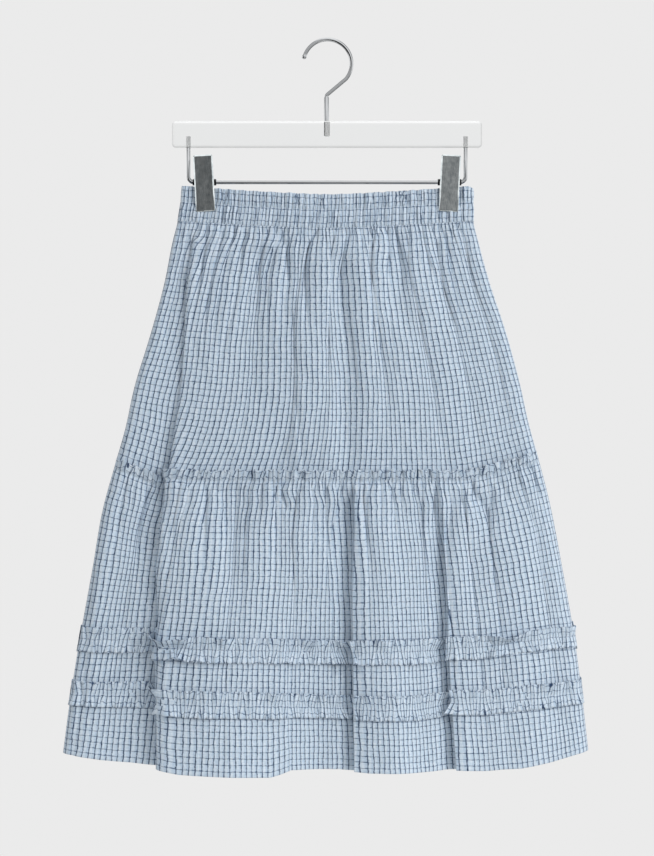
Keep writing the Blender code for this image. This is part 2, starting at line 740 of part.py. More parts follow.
def hollow_shape(outward, width):
    """The space inside a jaw: between its cheeks, behind its face and within its lips."""
    shape = box_shape(
        width - 2.0 * CLIP_SHEET,
        CLIP_HOLLOW_REACH,
        CLIP_ABOVE + CLIP_BELOW - 2.0 * CLIP_SHEET,
        Vector((0.0, 0.0, 0.0)),
    )
    lean = math.atan2(CLIP_TOP_OUT - CLIP_BOTTOM_OUT, CLIP_ABOVE + CLIP_BELOW)
    face_y = (CLIP_TOP_OUT + CLIP_BOTTOM_OUT) / 2.0 - CLIP_SHEET / math.cos(lean)
    face_z = (CLIP_ABOVE - CLIP_BELOW) / 2.0
    place = (
        Matrix.Translation(Vector((0.0, outward * face_y, face_z)) * MM)
        @ Matrix.Rotation(-outward * lean, 4, "X")
        @ Matrix.Translation(Vector((0.0, -outward * CLIP_HOLLOW_REACH / 2.0, 0.0)) * MM)
    )
    bmesh.ops.transform(shape, matrix=place, verts=shape.verts)
    return shape


def build_clip(label, side, metal, dark, parent):
    """Two sprung jaws on a sleeve that rides on the rail."""
    pivot = bpy.data.objects.new("clip_pivot_" + label, None)
    bpy.context.scene.collection.objects.link(pivot)
    pivot.parent = parent
    pivot.location = (side * CLIP_X * MM, 0.0, -RAIL_DOWN * MM)
    across = Vector((1.0, 0.0, 0.0))
    lean = Matrix.Rotation(math.radians(side * CLIP_LEAN), 4, "Y")

    nested = CLIP_WIDTH - 2.0 * (CLIP_SHEET + RUNNING_GAP)
    for name, outward, width in (("front", -1.0, CLIP_WIDTH), ("back", 1.0, nested)):
        jaw_name = "clip_{}_jaw_{}".format(label, name)
        shape = jaw_shape(outward, width)
        bmesh.ops.transform(shape, matrix=lean, verts=shape.verts)
        jaw = add_object(jaw_name, mesh_from(shape, jaw_name), metal, pivot, 35)
        inside = hollow_shape(outward, width)
        bmesh.ops.transform(inside, matrix=lean, verts=inside.verts)
        cut(jaw, add_cutter(jaw_name + "_hollow", inside, pivot))
        bore = SLEEVE_OUTER + 2.0 * RUNNING_GAP
        drill = cylinder_shape(bore, 2.0 * CLIP_WIDTH, Vector(), across)
        cut(jaw, add_cutter(jaw_name + "_bore", drill, pivot))

    sleeve_length = CLIP_WIDTH + 2.0 * SLEEVE_OVERHANG
    tube_mesh(
        "clip_{}_sleeve".format(label), SLEEVE_OUTER, RAIL_WIRE + 2.0 * RUNNING_GAP, sleeve_length,
        dark, pivot,
    )
    tube_mesh(
        "clip_{}_spring".format(label), SPRING_OUTER, SLEEVE_OUTER + 2.0 * RUNNING_GAP,
        SPRING_LENGTH, dark, pivot,
    )


def tube_mesh(name, outer, bore, length, material, parent, segments=16):
    """A straight tube along X, centred on its parent."""
    shape = bmesh.new()
    loops = []
    for x, diameter in ((-1, outer), (1, outer), (1, bore), (-1, bore)):
        loop = []
        for segment in range(segments):
            angle = 2.0 * math.pi * segment / segments
            place = Vector((x * length, diameter * math.cos(angle), diameter * math.sin(angle)))
            loop.append(shape.verts.new(place * MM / 2.0))
        loops.append(loop)
    for index in range(len(loops)):
        loop = loops[index]
        following = loops[(index + 1) % len(loops)]
        for segment in range(segments):
            other = (segment + 1) % segments
            shape.faces.new((loop[segment], loop[other], following[other], following[segment]))
    return add_object(name, mesh_from(shape, name), material, parent, 50)


# --- assembly ----------------------------------------------------------------------
def main():
    for old in list(bpy.data.objects):
        bpy.data.objects.remove(old, do_unlink=True)

    cotton = principled("woven cotton check", (0.44, 0.55, 0.66), 0.9)
    casing = principled("gathered cotton casing", (0.40, 0.51, 0.63), 0.9)
    ruffle = principled("cotton ruffle", (0.50, 0.61, 0.71), 0.9)
    acrylic = principled("clear acrylic", (0.92, 0.94, 0.95), 0.05, transmission=1.0)
    chrome = principled("chromed steel", (0.70, 0.71, 0.73), 0.12, metallic=1.0)
    black = principled("black spring steel", (0.03, 0.03, 0.03), 0.45, metallic=0.6)

    root = bpy.data.objects.new("tiered_skirt_on_hanger", None)
    bpy.context.scene.collection.objects.link(root)

    for front in (True, False):
        build_waistband(front, casing, root)
        build_upper_tier(front, cotton, root)
        build_lower_tier(front, cotton, root)
        build_ruffle(1, front, ruffle, root)
        build_ruffle(2, front, ruffle, root)

    build_bar(acrylic, root)
    build_hook(chrome, root)
    build_rail(chrome, root)
    build_clip("left", -1.0, chrome, black, root)
    build_clip("right", 1.0, chrome, black, root)


main()
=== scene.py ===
import math

import bmesh
import bpy
import numpy as np
from mathutils import Matrix, Vector


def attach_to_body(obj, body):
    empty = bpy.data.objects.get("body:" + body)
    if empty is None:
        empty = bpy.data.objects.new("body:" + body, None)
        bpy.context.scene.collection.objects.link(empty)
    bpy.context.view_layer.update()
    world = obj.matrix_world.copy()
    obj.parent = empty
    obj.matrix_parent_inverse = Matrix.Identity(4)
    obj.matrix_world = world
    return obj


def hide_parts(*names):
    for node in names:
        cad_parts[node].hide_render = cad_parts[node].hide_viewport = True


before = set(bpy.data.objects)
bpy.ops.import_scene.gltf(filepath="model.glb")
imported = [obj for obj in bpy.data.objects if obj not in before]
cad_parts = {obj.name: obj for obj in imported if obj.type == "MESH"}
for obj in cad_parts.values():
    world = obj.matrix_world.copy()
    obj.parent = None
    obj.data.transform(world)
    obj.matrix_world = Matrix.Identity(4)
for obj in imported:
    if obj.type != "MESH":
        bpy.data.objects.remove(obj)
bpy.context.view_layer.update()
mm = 0.001

# the cloth's form: the same sizes and fold lines as the solids, in millimetres
skirt = {
    "waistTop": 168.9, "waistStitch": 185.4, "waistBottom": 206.3,
    "tierSeam": 482.9, "headingHeight": 11.5, "hem": 804.7,
    "ruffle1": 669.9, "ruffle2": 729.3, "ruffleHalf": 14.5,
    "upperCut": 520.0, "lowerCut": 700.0, "ruffleCut": 1000.0,  # widths of the cut pieces
    "clothThickness": 0.5, "casingThickness": 1.1, "lowerTierOut": 1.5, "sideSeam": 0.35,
    "clipX": 134.8, "clipEnd": 190.0,
}
# down, left, right, front, back, edge radius, side rise, where the rise starts
levels = np.array((
    (168.9, 159.0, 160.0, 6.0, 6.0, 3.4, 9.8, 0.00),
    (185.4, 160.5, 160.5, 6.2, 6.0, 3.4, 9.0, 0.00),
    (206.3, 164.0, 161.0, 8.0, 7.0, 3.8, 8.0, 0.00),
    (229.4, 169.9, 166.6, 10.5, 9.0, 4.8, 7.5, 0.10),
    (273.4, 178.6, 178.8, 13.0, 11.0, 6.0, 7.5, 0.30),
    (328.4, 193.0, 196.4, 15.5, 12.5, 7.0, 9.0, 0.45),
    (388.9, 211.2, 211.8, 18.0, 14.0, 8.5, 13.0, 0.55),
    (438.4, 221.7, 221.7, 19.5, 15.0, 9.5, 18.0, 0.60),
    (482.9, 234.0, 233.0, 21.0, 16.0, 10.0, 21.5, 0.62),
    (531.9, 247.0, 245.5, 25.0, 19.0, 11.0, 20.0, 0.62),
    (592.4, 257.5, 257.5, 28.5, 21.0, 12.0, 18.0, 0.62),
    (669.9, 271.5, 271.5, 31.5, 23.0, 13.0, 16.5, 0.62),
    (729.3, 281.0, 279.5, 33.5, 24.0, 14.0, 16.0, 0.61),
    (804.7, 290.0, 287.0, 36.0, 26.0, 15.0, 22.0, 0.60),
))
# down, depth of the deep fold, sideways overlap, lift at the fold, lift at the seam
tucks = np.array((
    (168.9, 0.0, 0.0, 0.0, 0.0),
    (206.3, 0.8, 0.5, 0.0, 0.0),
    (229.4, 3.0, 4.5, 0.0, 0.0),
    (273.4, 5.0, 6.5, 0.0, 0.0),
    (328.4, 5.5, 6.5, 0.0, 0.0),
    (388.9, 5.0, 4.0, -3.0, -3.0),
    (438.4, 6.5, 5.5, -9.0, -6.0),
    (482.9, 9.0, 8.0, -14.0, -8.0),
    (531.9, 12.0, 9.5, -8.0, -7.0),
    (592.4, 13.0, 9.5, 2.0, -7.0),
    (669.9, 14.0, 9.5, 10.0, -7.0),
    (729.3, 14.0, 9.0, 11.0, -5.0),
    (804.7, 14.0, 8.0, 5.0, -1.0),
))
tuckShape = {"turn": 5.8, "step": 1.8, "ridge": 0.35, "ridgeReach": 7.0, "fadeFromSeam": 0.1}
# down, then x of the deep fold, the middle fold and the right fold
frontRuns = np.array((
    (168.9, -139.0, 17.0, 117.0),
    (206.3, -142.5, 18.0, 120.0),
    (273.4, -149.5, 21.0, 126.0),
    (328.4, -153.0, 23.0, 130.0),
    (388.9, -160.0, 25.0, 134.0),
    (438.4, -165.5, 26.0, 139.0),
    (482.9, -171.5, 26.0, 143.0),
    (531.9, -174.0, 25.0, 131.0),
    (592.4, -175.0, 25.0, 126.0),
    (669.9, -175.0, 26.0, 128.0),
    (729.3, -175.0, 27.0, 132.0),
    (804.7, -174.5, 27.0, 136.0),
))
# x, then how far the front's rows hang above a level line at the ruffles and the hem
hangs = np.array((
    (-290.0, 4.4, 2.8, 2.2), (-248.0, 4.4, 2.8, 3.3), (-215.0, 4.4, 2.8, 5.5), (-187.0, 4.4, 2.8, 5.5),
    (-178.0, 5.0, 5.5, 6.6), (-160.0, 4.8, 5.0, 3.3), (-138.0, 4.2, 4.4, 2.2), (-105.0, 3.3, 3.9, 1.1),
    (-62.0, 2.2, 3.0, 0.0), (-51.0, 1.6, 2.6, 3.0), (-40.0, 1.0, 1.6, 7.0), (15.0, -0.5, -1.0, 7.0),
    (26.0, -0.5, -1.0, 5.5), (48.0, 0.6, -1.3, 4.4), (100.0, 1.1, -1.6, 4.4), (125.0, 1.6, 2.0, 5.5),
    (136.0, 4.4, 5.0, 6.0), (190.0, 6.6, 5.3, 5.5), (212.0, 6.6, 5.3, 3.3), (245.0, 4.4, 2.8, 3.3),
    (275.0, 0.0, 0.0, 4.4), (290.0, 0.0, 0.0, 4.4),
))
backRuns = np.array((
    (168.9, -92.0, -18.0, 76.0),
    (482.9, -140.0, -32.0, 98.0),
    (804.7, -172.0, -40.0, 112.0),
))
# fold line, distance beside it, start, end, width, height at the start, height at the end
frontFolds = (
    (1, 72.0, 225.0, 400.0, 16.0, -3.5, -2.0),
    (2, -68.0, 206.0, 330.0, 15.0, -4.0, -2.0),
    (2, -50.0, 260.0, 700.0, 26.0, 3.0, 5.0),
    (2, 0.0, 225.0, 480.0, 15.0, -2.5, -4.5),
    (3, -50.0, 206.0, 330.0, 14.0, -4.5, -2.0),
    (3, 0.0, 206.0, 340.0, 11.0, -3.5, -2.0),
    (2, 0.0, 484.0, 805.0, 12.0, -8.0, -5.0),
    (3, 0.0, 484.0, 805.0, 12.0, -8.0, -8.0),
    (3, 40.0, 500.0, 640.0, 16.0, -5.0, -3.0),
    (1, 66.0, 484.0, 620.0, 18.0, -4.0, -2.0),
    (1, 62.0, 540.0, 805.0, 46.0, 4.0, 15.0),
    (2, -32.0, 600.0, 805.0, 26.0, -3.0, -7.0),
    (2, 56.0, 520.0, 805.0, 30.0, 3.0, 9.0),
    (3, 84.0, 540.0, 805.0, 30.0, 2.0, 5.0),
)
backFolds = (
    (1, 0.0, 206.0, 805.0, 14.0, -3.5, -7.0),
    (2, 0.0, 206.0, 805.0, 14.0, -3.5, -7.0),
    (3, 0.0, 206.0, 805.0, 14.0, -3.5, -7.0),
    (1, 52.0, 484.0, 805.0, 30.0, 3.0, 9.0),
    (2, 62.0, 520.0, 805.0, 34.0, 3.0, 9.0),
    (3, 62.0, 520.0, 805.0, 30.0, 3.0, 8.0),
    (1, -40.0, 484.0, 805.0, 24.0, 2.0, 5.0),
)


def smooth(start, end, value):
    share = np.clip((value - start) / (end - start), 0.0, 1.0)
    return share * share * (3.0 - 2.0 * share)


def rowAt(table, down):  # the table's values at each height, on a smooth curve through its rows
    down = np.clip(down, table[0, 0], table[-1, 0])
    i = np.clip(np.searchsorted(table[:, 0], down) - 1, 0, len(table) - 2)
    before, low = table[np.maximum(i - 1, 0)], table[i]
    high, after = table[i + 1], table[np.minimum(i + 2, len(table) - 1)]
    span = high[:, :1] - low[:, :1]
    share = (down[:, None] - low[:, :1]) / span
    slopeLow = (high - before) / (high[:, :1] - before[:, :1]) * span
    slopeHigh = (after - low) / (after[:, :1] - low[:, :1]) * span
    rise = high - low
    return (low + share * slopeLow + share ** 2 * (3.0 * rise - 2.0 * slopeLow - slopeHigh)
            + share ** 3 * (slopeLow + slopeHigh - 2.0 * rise))


# shares of a fold's length in which it rises and dies away, and how near the hem it then runs on to it
foldEnds = {"rise": 0.08, "fall": 0.65, "toHem": 20.0}


def foldRelief(folds, runs, x, down):  # height of the soft folds
    total = np.zeros_like(x)
    for line, aside, start, end, width, heightStart, heightEnd in folds:
        share = (down - start) / (end - start)
        height = (heightStart + share * (heightEnd - heightStart)) * smooth(0.0, foldEnds["rise"], share)
        if end < skirt["hem"] - foldEnds["toHem"]:
            height = height * (1.0 - smooth(foldEnds["fall"], 1.0, share))
        height = np.where((down > start) & (down <= end + 1.0), height, 0.0)
        middle = runs[:, line:line + 1] + aside
        total += height[:, None] * np.exp(-((x - middle) / width) ** 2)
    return total


def hanging(x, down):  # how far the rows hang above a level line, from the tier seam down
    places = (skirt["tierSeam"], skirt["ruffle1"], skirt["ruffle2"], skirt["hem"])
    heights = [np.zeros_like(x)] + [np.interp(x, hangs[:, 0], hangs[:, column]) for column in (1, 2, 3)]
    total = np.zeros_like(x)
    for number in range(3):
        share = np.clip((down - places[number]) / (places[number + 1] - places[number]), 0.0, 1.0)[:, None]
        total += (heights[number + 1] - heights[number]) * share
    return total


def arcRows(points):  # how far along its row each point lies
    steps = np.linalg.norm(np.diff(points, axis=1), axis=2)
    return np.concatenate((np.zeros((len(points), 1)), np.cumsum(steps, axis=1)), axis=1)


# points along a row, how the sides rise, and where the side's calm and the back seam's lift begin, as shares
wall = {"samples": 1500, "riseCurve": 1.4, "calmSide": 0.14, "seamLiftFrom": 0.35}


def skin(front, downs, shares):  # points of the cloth's middle surface, rows by columns
    level, tuck = rowAt(levels, downs), rowAt(tucks, downs)
    runs = rowAt(frontRuns if front else backRuns, downs)
    column = lambda values: values[:, None]
    half = column((level[:, 1] + level[:, 2]) / 2.0)
    centre = column((level[:, 2] - level[:, 1]) / 2.0)
    edge = column(level[:, 5])
    flat = half - edge
    quarter = flat + edge * math.pi / 2.0
    along = np.linspace(-1.0, 1.0, wall["samples"])[None, :] * quarter
    inner = np.clip(along, -flat, flat)
    turn = (along - inner) / edge
    x = inner + edge * np.sin(turn)
    crown = column(level[:, 3] if front else level[:, 4]) - edge
    depth = edge * np.cos(turn) + crown * (1.0 - (x / half) ** 2) ** 2
    start = column(level[:, 7])
    lifted = np.clip((np.abs(x) / half - start) / (1.0 - start), 0.0, 1.0) ** wall["riseCurve"]
    rise = column(level[:, 6]) * lifted
    calm = smooth(0.0, wall["calmSide"], 1.0 - np.abs(along) / quarter)
    relief = calm * foldRelief(frontFolds if front else backFolds, runs, x + centre, downs)
    push = np.zeros_like(x)
    if front:
        line = column(runs[:, 1])
        across = (x + centre - line) / tuckShape["turn"]
        onSide = 1.0 - smooth(-tuckShape["step"], tuckShape["step"], across)
        toSeam = np.clip((line - centre - x) / (half + line - centre), 0.0, 1.0)
        deep = column(tuck[:, 1])
        relief -= deep * onSide * (1.0 - smooth(tuckShape["fadeFromSeam"], 1.0, toSeam))
        ridge = (1.0 - onSide) * np.exp(-(across / tuckShape["ridgeReach"]) ** 2)
        relief += tuckShape["ridge"] * deep * ridge
        push = -column(tuck[:, 2]) * across * np.exp((1.0 - across ** 2) / 2.0)
        rise = rise + onSide * column(tuck[:, 3]) + onSide * toSeam * column(tuck[:, 4] - tuck[:, 3])
    else:  # so that both panels meet at the side seam
        rise = rise + column(tuck[:, 4]) * smooth(wall["seamLiftFrom"], 1.0, -x / half)
    rise = rise + hanging(x + centre + push, downs)
    side = -1.0 if front else 1.0
    points = np.stack((
        centre + x + push + np.sin(turn) * relief,
        side * (depth + np.cos(turn) * relief),
        rise - downs[:, None] + 0.0 * x,
    ), axis=-1)
    arc = arcRows(points)
    placed = np.empty((len(downs), len(shares), 3))
    for row in range(len(downs)):
        for axis in range(3):
            placed[row, :, axis] = np.interp(shares * arc[row, -1], arc[row], points[row, :, axis])
    return placed


def outward(points, front):  # unit normals of a grid of points, out of the garment
    across = np.gradient(points, axis=1)
    drop = np.gradient(points, axis=0)
    normal = np.cross(drop, across) if front else np.cross(across, drop)
    return normal / np.linalg.norm(normal, axis=2, keepdims=True)


def deselectAll():
    if bpy.context.mode != "OBJECT":
        bpy.ops.object.mode_set(mode="OBJECT")
    bpy.ops.object.select_all(action="DESELECT")


def activate(piece):
    deselectAll()
    piece.select_set(True)
    bpy.context.view_layer.objects.active = piece


def beginEdit(piece, kind="VERT"):
    activate(piece)
    bpy.ops.object.mode_set(mode="EDIT")
    bpy.ops.mesh.select_mode(type=kind)


def pick(piece, part, test):  # selects only what passes the test on its corners' places, in mm
    bpy.ops.mesh.select_all(action="DESELECT")
    grid = bmesh.from_edit_mesh(piece.data)
    for item in getattr(grid, part):
        places = [item.co / mm] if part == "verts" else [corner.co / mm for corner in item.verts]
        item.select_set(all(test(place) for place in places))
    grid.select_flush_mode()
    bmesh.update_edit_mesh(piece.data)


def endEdit(piece, angle=40.0):  # welds doubles, turns the faces outwards, smooths
    bpy.ops.mesh.select_all(action="SELECT")
    bpy.ops.mesh.remove_doubles(threshold=0.002 * mm)
    bpy.ops.mesh.normals_make_consistent(inside=False)
    bpy.ops.object.mode_set(mode="OBJECT")
    bpy.ops.object.shade_smooth_by_angle(angle=math.radians(angle))
    return piece


def placeInMesh(name):  # names the active piece and writes its place, turn and scale into its mesh
    piece = bpy.context.active_object
    piece.name = piece.data.name = name
    bpy.ops.object.transform_apply(location=True, rotation=True, scale=True)
    return piece


def placedMesh(name, mesh):  # a smooth-shaded piece from a finished mesh
    mesh.polygons.foreach_set("use_smooth", [True] * len(mesh.polygons))
    piece = bpy.data.objects.new(name, mesh)
    bpy.context.scene.collection.objects.link(piece)
    return piece


def addModifier(piece, kind, **settings):
    modifier = piece.modifiers.new(kind.lower(), kind)
    for key, value in settings.items():
        setattr(modifier, key, value)
    activate(piece)
    bpy.ops.object.modifier_apply(modifier=modifier.name)


def flatFaces(piece):  # the rounded edges take up the shading, so that the broad faces stay flat
    addModifier(piece, "WEIGHTED_NORMAL", keep_sharp=True, weight=90)
    return piece


def cutAway(piece, tool):
    addModifier(piece, "BOOLEAN", operation="DIFFERENCE", solver="EXACT", object=tool)
    bpy.data.objects.remove(tool)


def rod(diameter, length, centre, alongX=False):  # a plain cylinder to drill with
    deselectAll()
    bpy.ops.mesh.primitive_cylinder_add(
        vertices=32, radius=diameter / 2.0 * mm, depth=length * mm, location=Vector(centre) * mm,
        rotation=(0.0, math.pi / 2.0 if alongX else 0.0, 0.0))
    return placeInMesh("rod")


def crease(distance, width):  # a narrow valley that opens softly to both sides
    return np.exp(1.0 - np.sqrt(1.0 + (2.0 * distance / width) ** 2))


chance = {
    "waveSizes": (0.25, 1.0),  # of the tallest
    "finer": 1.9, "weaker": 1.6, "bend": 1.7,  # from one octave to the next, and how each bends
    "patchSizes": (0.6, 1.8), "patchBend": 1.2, "patchSlower": 0.6, "patchLevel": 1.2,
}


def gatherWaves(seed, along, pitch, jitter=0.5, roundness=1.2):
    # uneven round-topped waves: their height, how far they lean to a side, and each one's own size
    dice = np.random.default_rng(seed)
    count = int((along.max() - along.min()) / pitch / (1.0 - jitter / 2.0)) + 12
    edges = along.min() - 2.0 * pitch + np.cumsum(pitch * dice.uniform(1.0 - jitter, 1.0 + jitter, count))
    sizes = dice.uniform(*chance["waveSizes"], count)
    cell = np.clip(np.searchsorted(edges, along) - 1, 0, count - 2)
    share = np.clip((along - edges[cell]) / (edges[cell + 1] - edges[cell]), 0.0, 1.0)
    size = sizes[cell]
    return np.sin(np.pi * share) ** roundness * size, -np.sin(2.0 * np.pi * share) * size, size


def drifting(seed, values, scale, octaves=3):  # smooth unevenness along one direction, about -1 to 1
    dice = np.random.default_rng(seed)
    total = np.zeros_like(values)
    for octave in range(octaves):
        size = scale / chance["finer"] ** octave
        phase, turn = dice.uniform(0.0, 2.0 * np.pi, 2)
        bend = chance["bend"] * np.sin(values / size + turn)
        total += np.sin(values * 2.0 * np.pi / size + phase + bend) / chance["weaker"] ** octave
    return total / 2.0


def uneven(seed, across, down, scales, terms=9):  # the same in two directions, scales across and down
    dice = np.random.default_rng(seed)
    total = np.zeros_like(across)
    for _ in range(terms):
        sizeAcross = scales[0] * dice.uniform(*chance["patchSizes"])
        waveAcross = 2.0 * np.pi / sizeAcross * dice.choice((-1.0, 1.0))
        waveDown = 2.0 * np.pi / (scales[1] * dice.uniform(*chance["patchSizes"]))
        phase = dice.uniform(0.0, 2.0 * np.pi, 2)
        bend = chance["patchBend"] * np.sin(waveDown * chance["patchSlower"] * down + phase[1])
        total += np.sin(waveAcross * across + waveDown * down + phase[0] + bend)
    return total / math.sqrt(terms) / chance["patchLevel"]


# how the gathers wander and round off, how full they start at the seam, how they lean and where they end
gathers = {
    "wander": 0.07, "wanderLength": 8.0, "jitter": 0.6, "tightRound": 0.75, "broadRound": 1.1,
    "atSeam": 0.55, "middle": 0.38, "lean": 0.13, "endsFrom": 0.4, "endsOver": 0.9,
}


def gathered(seed, cut, fall, stages):
    # small waves at the seam run together into wider ones further down; height and sideways lean
    height, lean = np.zeros_like(cut), np.zeros_like(cut)
    for number, (pitch, peak, end, tall) in enumerate(stages):
        wander = drifting(seed + 50 + number, cut, pitch * gathers["wanderLength"]) * gathers["wander"] * fall
        roundness = gathers["tightRound"] if number < 2 else gathers["broadRound"]
        wave, side, size = gatherWaves(seed + number, cut + wander, pitch, gathers["jitter"], roundness)
        first = gathers["atSeam"] if number == 0 else 0.0
        grown = first + (1.0 - first) * smooth(0.0, peak, fall)
        left = 1.0 - smooth(peak, end * (gathers["endsFrom"] + gathers["endsOver"] * size), fall)
        height += tall * (wave - gathers["middle"]) * grown * left
        lean += gathers["lean"] * pitch * side * grown * left
    return height, lean


# where a drawn fold starts and ends, how a crease widens, and the rolled lip where one fold lies over another
foldShape = {
    "start": (-0.03, 0.08), "end": (0.55, 1.04), "toHem": 5.0,  # shares of a fold's length
    "narrow": 0.8, "widening": 0.6, "lip": 1.6, "roll": 0.4, "rollWidth": 0.7,
}


def placedFolds(folds, points, downs):  # folds drawn one by one: kind, width, depth, and (down, x) along each
    total = np.zeros(points.shape[:2])
    for kind, width, depth, route in folds:
        route = np.array(route)
        line = np.interp(downs, route[:, 0], route[:, 1])[:, None]
        length = route[-1, 0] - route[0, 0]
        share = ((downs - route[0, 0]) / length)[:, None]
        fade = smooth(*foldShape["start"], share)
        if route[-1, 0] < skirt["hem"] - foldShape["toHem"]:
            fade = fade * (1.0 - smooth(*foldShape["end"], share))
        away = points[:, :, 0] - line
        if kind == "crease":
            widening = foldShape["narrow"] + foldShape["widening"] * np.clip(share, 0.0, 1.0)
            shape = -crease(away, width * widening)
        elif kind == "trough":
            shape = -np.exp(-(away / width) ** 2)
        elif kind == "ridge":
            shape = np.exp(-(away / width) ** 2)
        else:  # one side of the cloth lies over the other: "overLeft" or "overRight"
            away = away if kind == "overLeft" else -away
            under = 1.0 - smooth(-foldShape["lip"], foldShape["lip"], away)
            roll = np.exp(-np.maximum(away, 0.0) / (foldShape["rollWidth"] * width))
            shape = -under * np.exp(np.minimum(away, 0.0) / width) + foldShape["roll"] * (1.0 - under) * roll
        total += depth * fade * shape
    return total


def blurAlong(field, count):  # running mean along each row
    first, last = field[:, :1].repeat(count, axis=1), field[:, -1:].repeat(count, axis=1)
    sums = np.cumsum(np.concatenate((first, field, last), axis=1), axis=1)
    return (sums[:, 2 * count:] - sums[:, :-2 * count]) / (2.0 * count)


def levelled(vectors):  # the same directions without their slope up or down
    return unit(vectors * (1.0, 1.0, 0.0))


def unit(vectors):
    return vectors / np.maximum(np.linalg.norm(vectors, axis=2, keepdims=True), 1e-9)


def moved(points, normal, out, tangent, aside):  # each point moved outwards and along its row
    return points + normal * out[:, :, None] + tangent * aside[:, :, None]


def spread(start, end, count, bias=1.0):
    return start + (end - start) * np.linspace(0.0, 1.0, count) ** bias


def sideCalm(shares, reach):  # 0 at the side seams, 1 further in
    return smooth(0.0, reach, np.minimum(shares, 1.0 - shares))[None, :]


def gatheredShares(shares, stops, fullness):
    # how the cut is shared out along the seam, where some stretches are gathered more closely than others
    fine = np.linspace(0.0, 1.0, 400)
    total = np.concatenate(([0.0], np.cumsum(np.interp(fine[1:], stops, fullness))))
    return np.interp(shares, fine, total / total[-1])


def cutAcross(points, cut, reach, bunched=1.0):
    # each point's place across the flat cut: even on the whole, but bunched where the cloth is steep
    arc = arcRows(points)
    gained = arc / arc[:, -1:] * (cut[:, -1:] - cut[:, :1]) + cut[:, :1] - cut
    return cut + bunched * (gained - blurAlong(gained, reach))


def laidOut(front, downs, shares, sizes, width, evenOver=0):
    # a piece's plain wall, its directions outwards and along, and each point's place across the flat cut
    base = skin(front, downs, shares)
    normal = outward(base, front)
    if evenOver:
        normal = blurAlong(normal, evenOver)
    if front and "stops" in sizes:
        shares = gatheredShares(shares, sizes["stops"], sizes["fullness"])
    cut = np.broadcast_to(shares * width, base.shape[:2])
    return base, levelled(normal), unit(np.gradient(base, axis=1)), cut


def clothSheet(name, points, cutU, cutV, front, thickness):
    # a thin shell of cloth; cutU and cutV are each point's place on the flat cut, in mm
    points = points.copy()
    points[:, (0, -1), 1] = -skirt["sideSeam"] if front else skirt["sideSeam"]
    rows, columns = points.shape[:2]
    index = np.arange(rows * columns).reshape(rows, columns)
    corners = [index[:-1, :-1], index[:-1, 1:], index[1:, 1:], index[1:, :-1]]
    if front:
        corners.reverse()
    faces = np.stack(corners, axis=-1).reshape(-1, 4)
    mesh = bpy.data.meshes.new(name)
    mesh.from_pydata((points.reshape(-1, 3) * mm).tolist(), [], faces.tolist())
    layer = mesh.uv_layers.new(name="cut")
    places = np.stack((cutU.reshape(-1)[faces.reshape(-1)], cutV.reshape(-1)[faces.reshape(-1)]), axis=-1)
    layer.data.foreach_set("uv", (places * mm).astype(np.float32).reshape(-1))
    piece = placedMesh(name, mesh)
    addModifier(piece, "SOLIDIFY", thickness=thickness * mm, offset=0.0)
    return piece


# length, thickness and pitch of a stitch, how proud it lies, and how far a row keeps from the side seams
thread = {"length": 2.2, "thickness": 0.34, "pitch": 3.0, "proud": 0.1, "inset": 4.0}
sewn = []  # the rows of stitching: name, line of points on the cloth's face, normals along it


def sew(name, points, normal, row, thickness):
    sewn.append((name, points[row] + normal[row] * (thickness / 2.0 + thread["proud"]), normal[row]))


def oneStitch():
    deselectAll()
    bpy.ops.mesh.primitive_uv_sphere_add(
        segments=6, ring_count=4, radius=0.5 * mm, rotation=(0.0, math.pi / 2.0, 0.0))
    piece = placeInMesh("stitch")
    piece.scale = (thread["length"], thread["thickness"], thread["thickness"])
    activate(piece)
    return placeInMesh("stitch")


def alongLine(steps, values, stops):  # the values where a line reaches each stop
    return np.stack([np.interp(stops, steps, values[:, axis]) for axis in range(3)], axis=-1)


def stitchRow(name, stitch, line, normals):
    # copies of one stitch laid end to end along a line of points, in mm
    steps = arcRows(line[None])[0]
    count = int((steps[-1] - 2.0 * thread["inset"]) / thread["pitch"])
    stops = thread["inset"] + thread["pitch"] * np.arange(count)
    half = thread["length"] / 2.0
    starts, middles, ends = [alongLine(steps, line, stops + shift) for shift in (-half, 0.0, half)]
    grid = bmesh.new()
    for start, middle, end, up in zip(starts, middles, ends, alongLine(steps, normals, stops)):
        along = Vector(end - start).normalized()
        side = Vector(up).normalized().cross(along).normalized()
        turn = Matrix((along, side, along.cross(side))).transposed().to_4x4()
        turn.translation = Vector(middle) * mm
        before = len(grid.verts)
        grid.from_mesh(stitch.data)
        grid.verts.ensure_lookup_table()
        for corner in grid.verts[before:]:
            corner.co = turn @ corner.co
    mesh = bpy.data.meshes.new(name)
    grid.to_mesh(mesh)
    grid.free()
    return placedMesh(name, mesh)


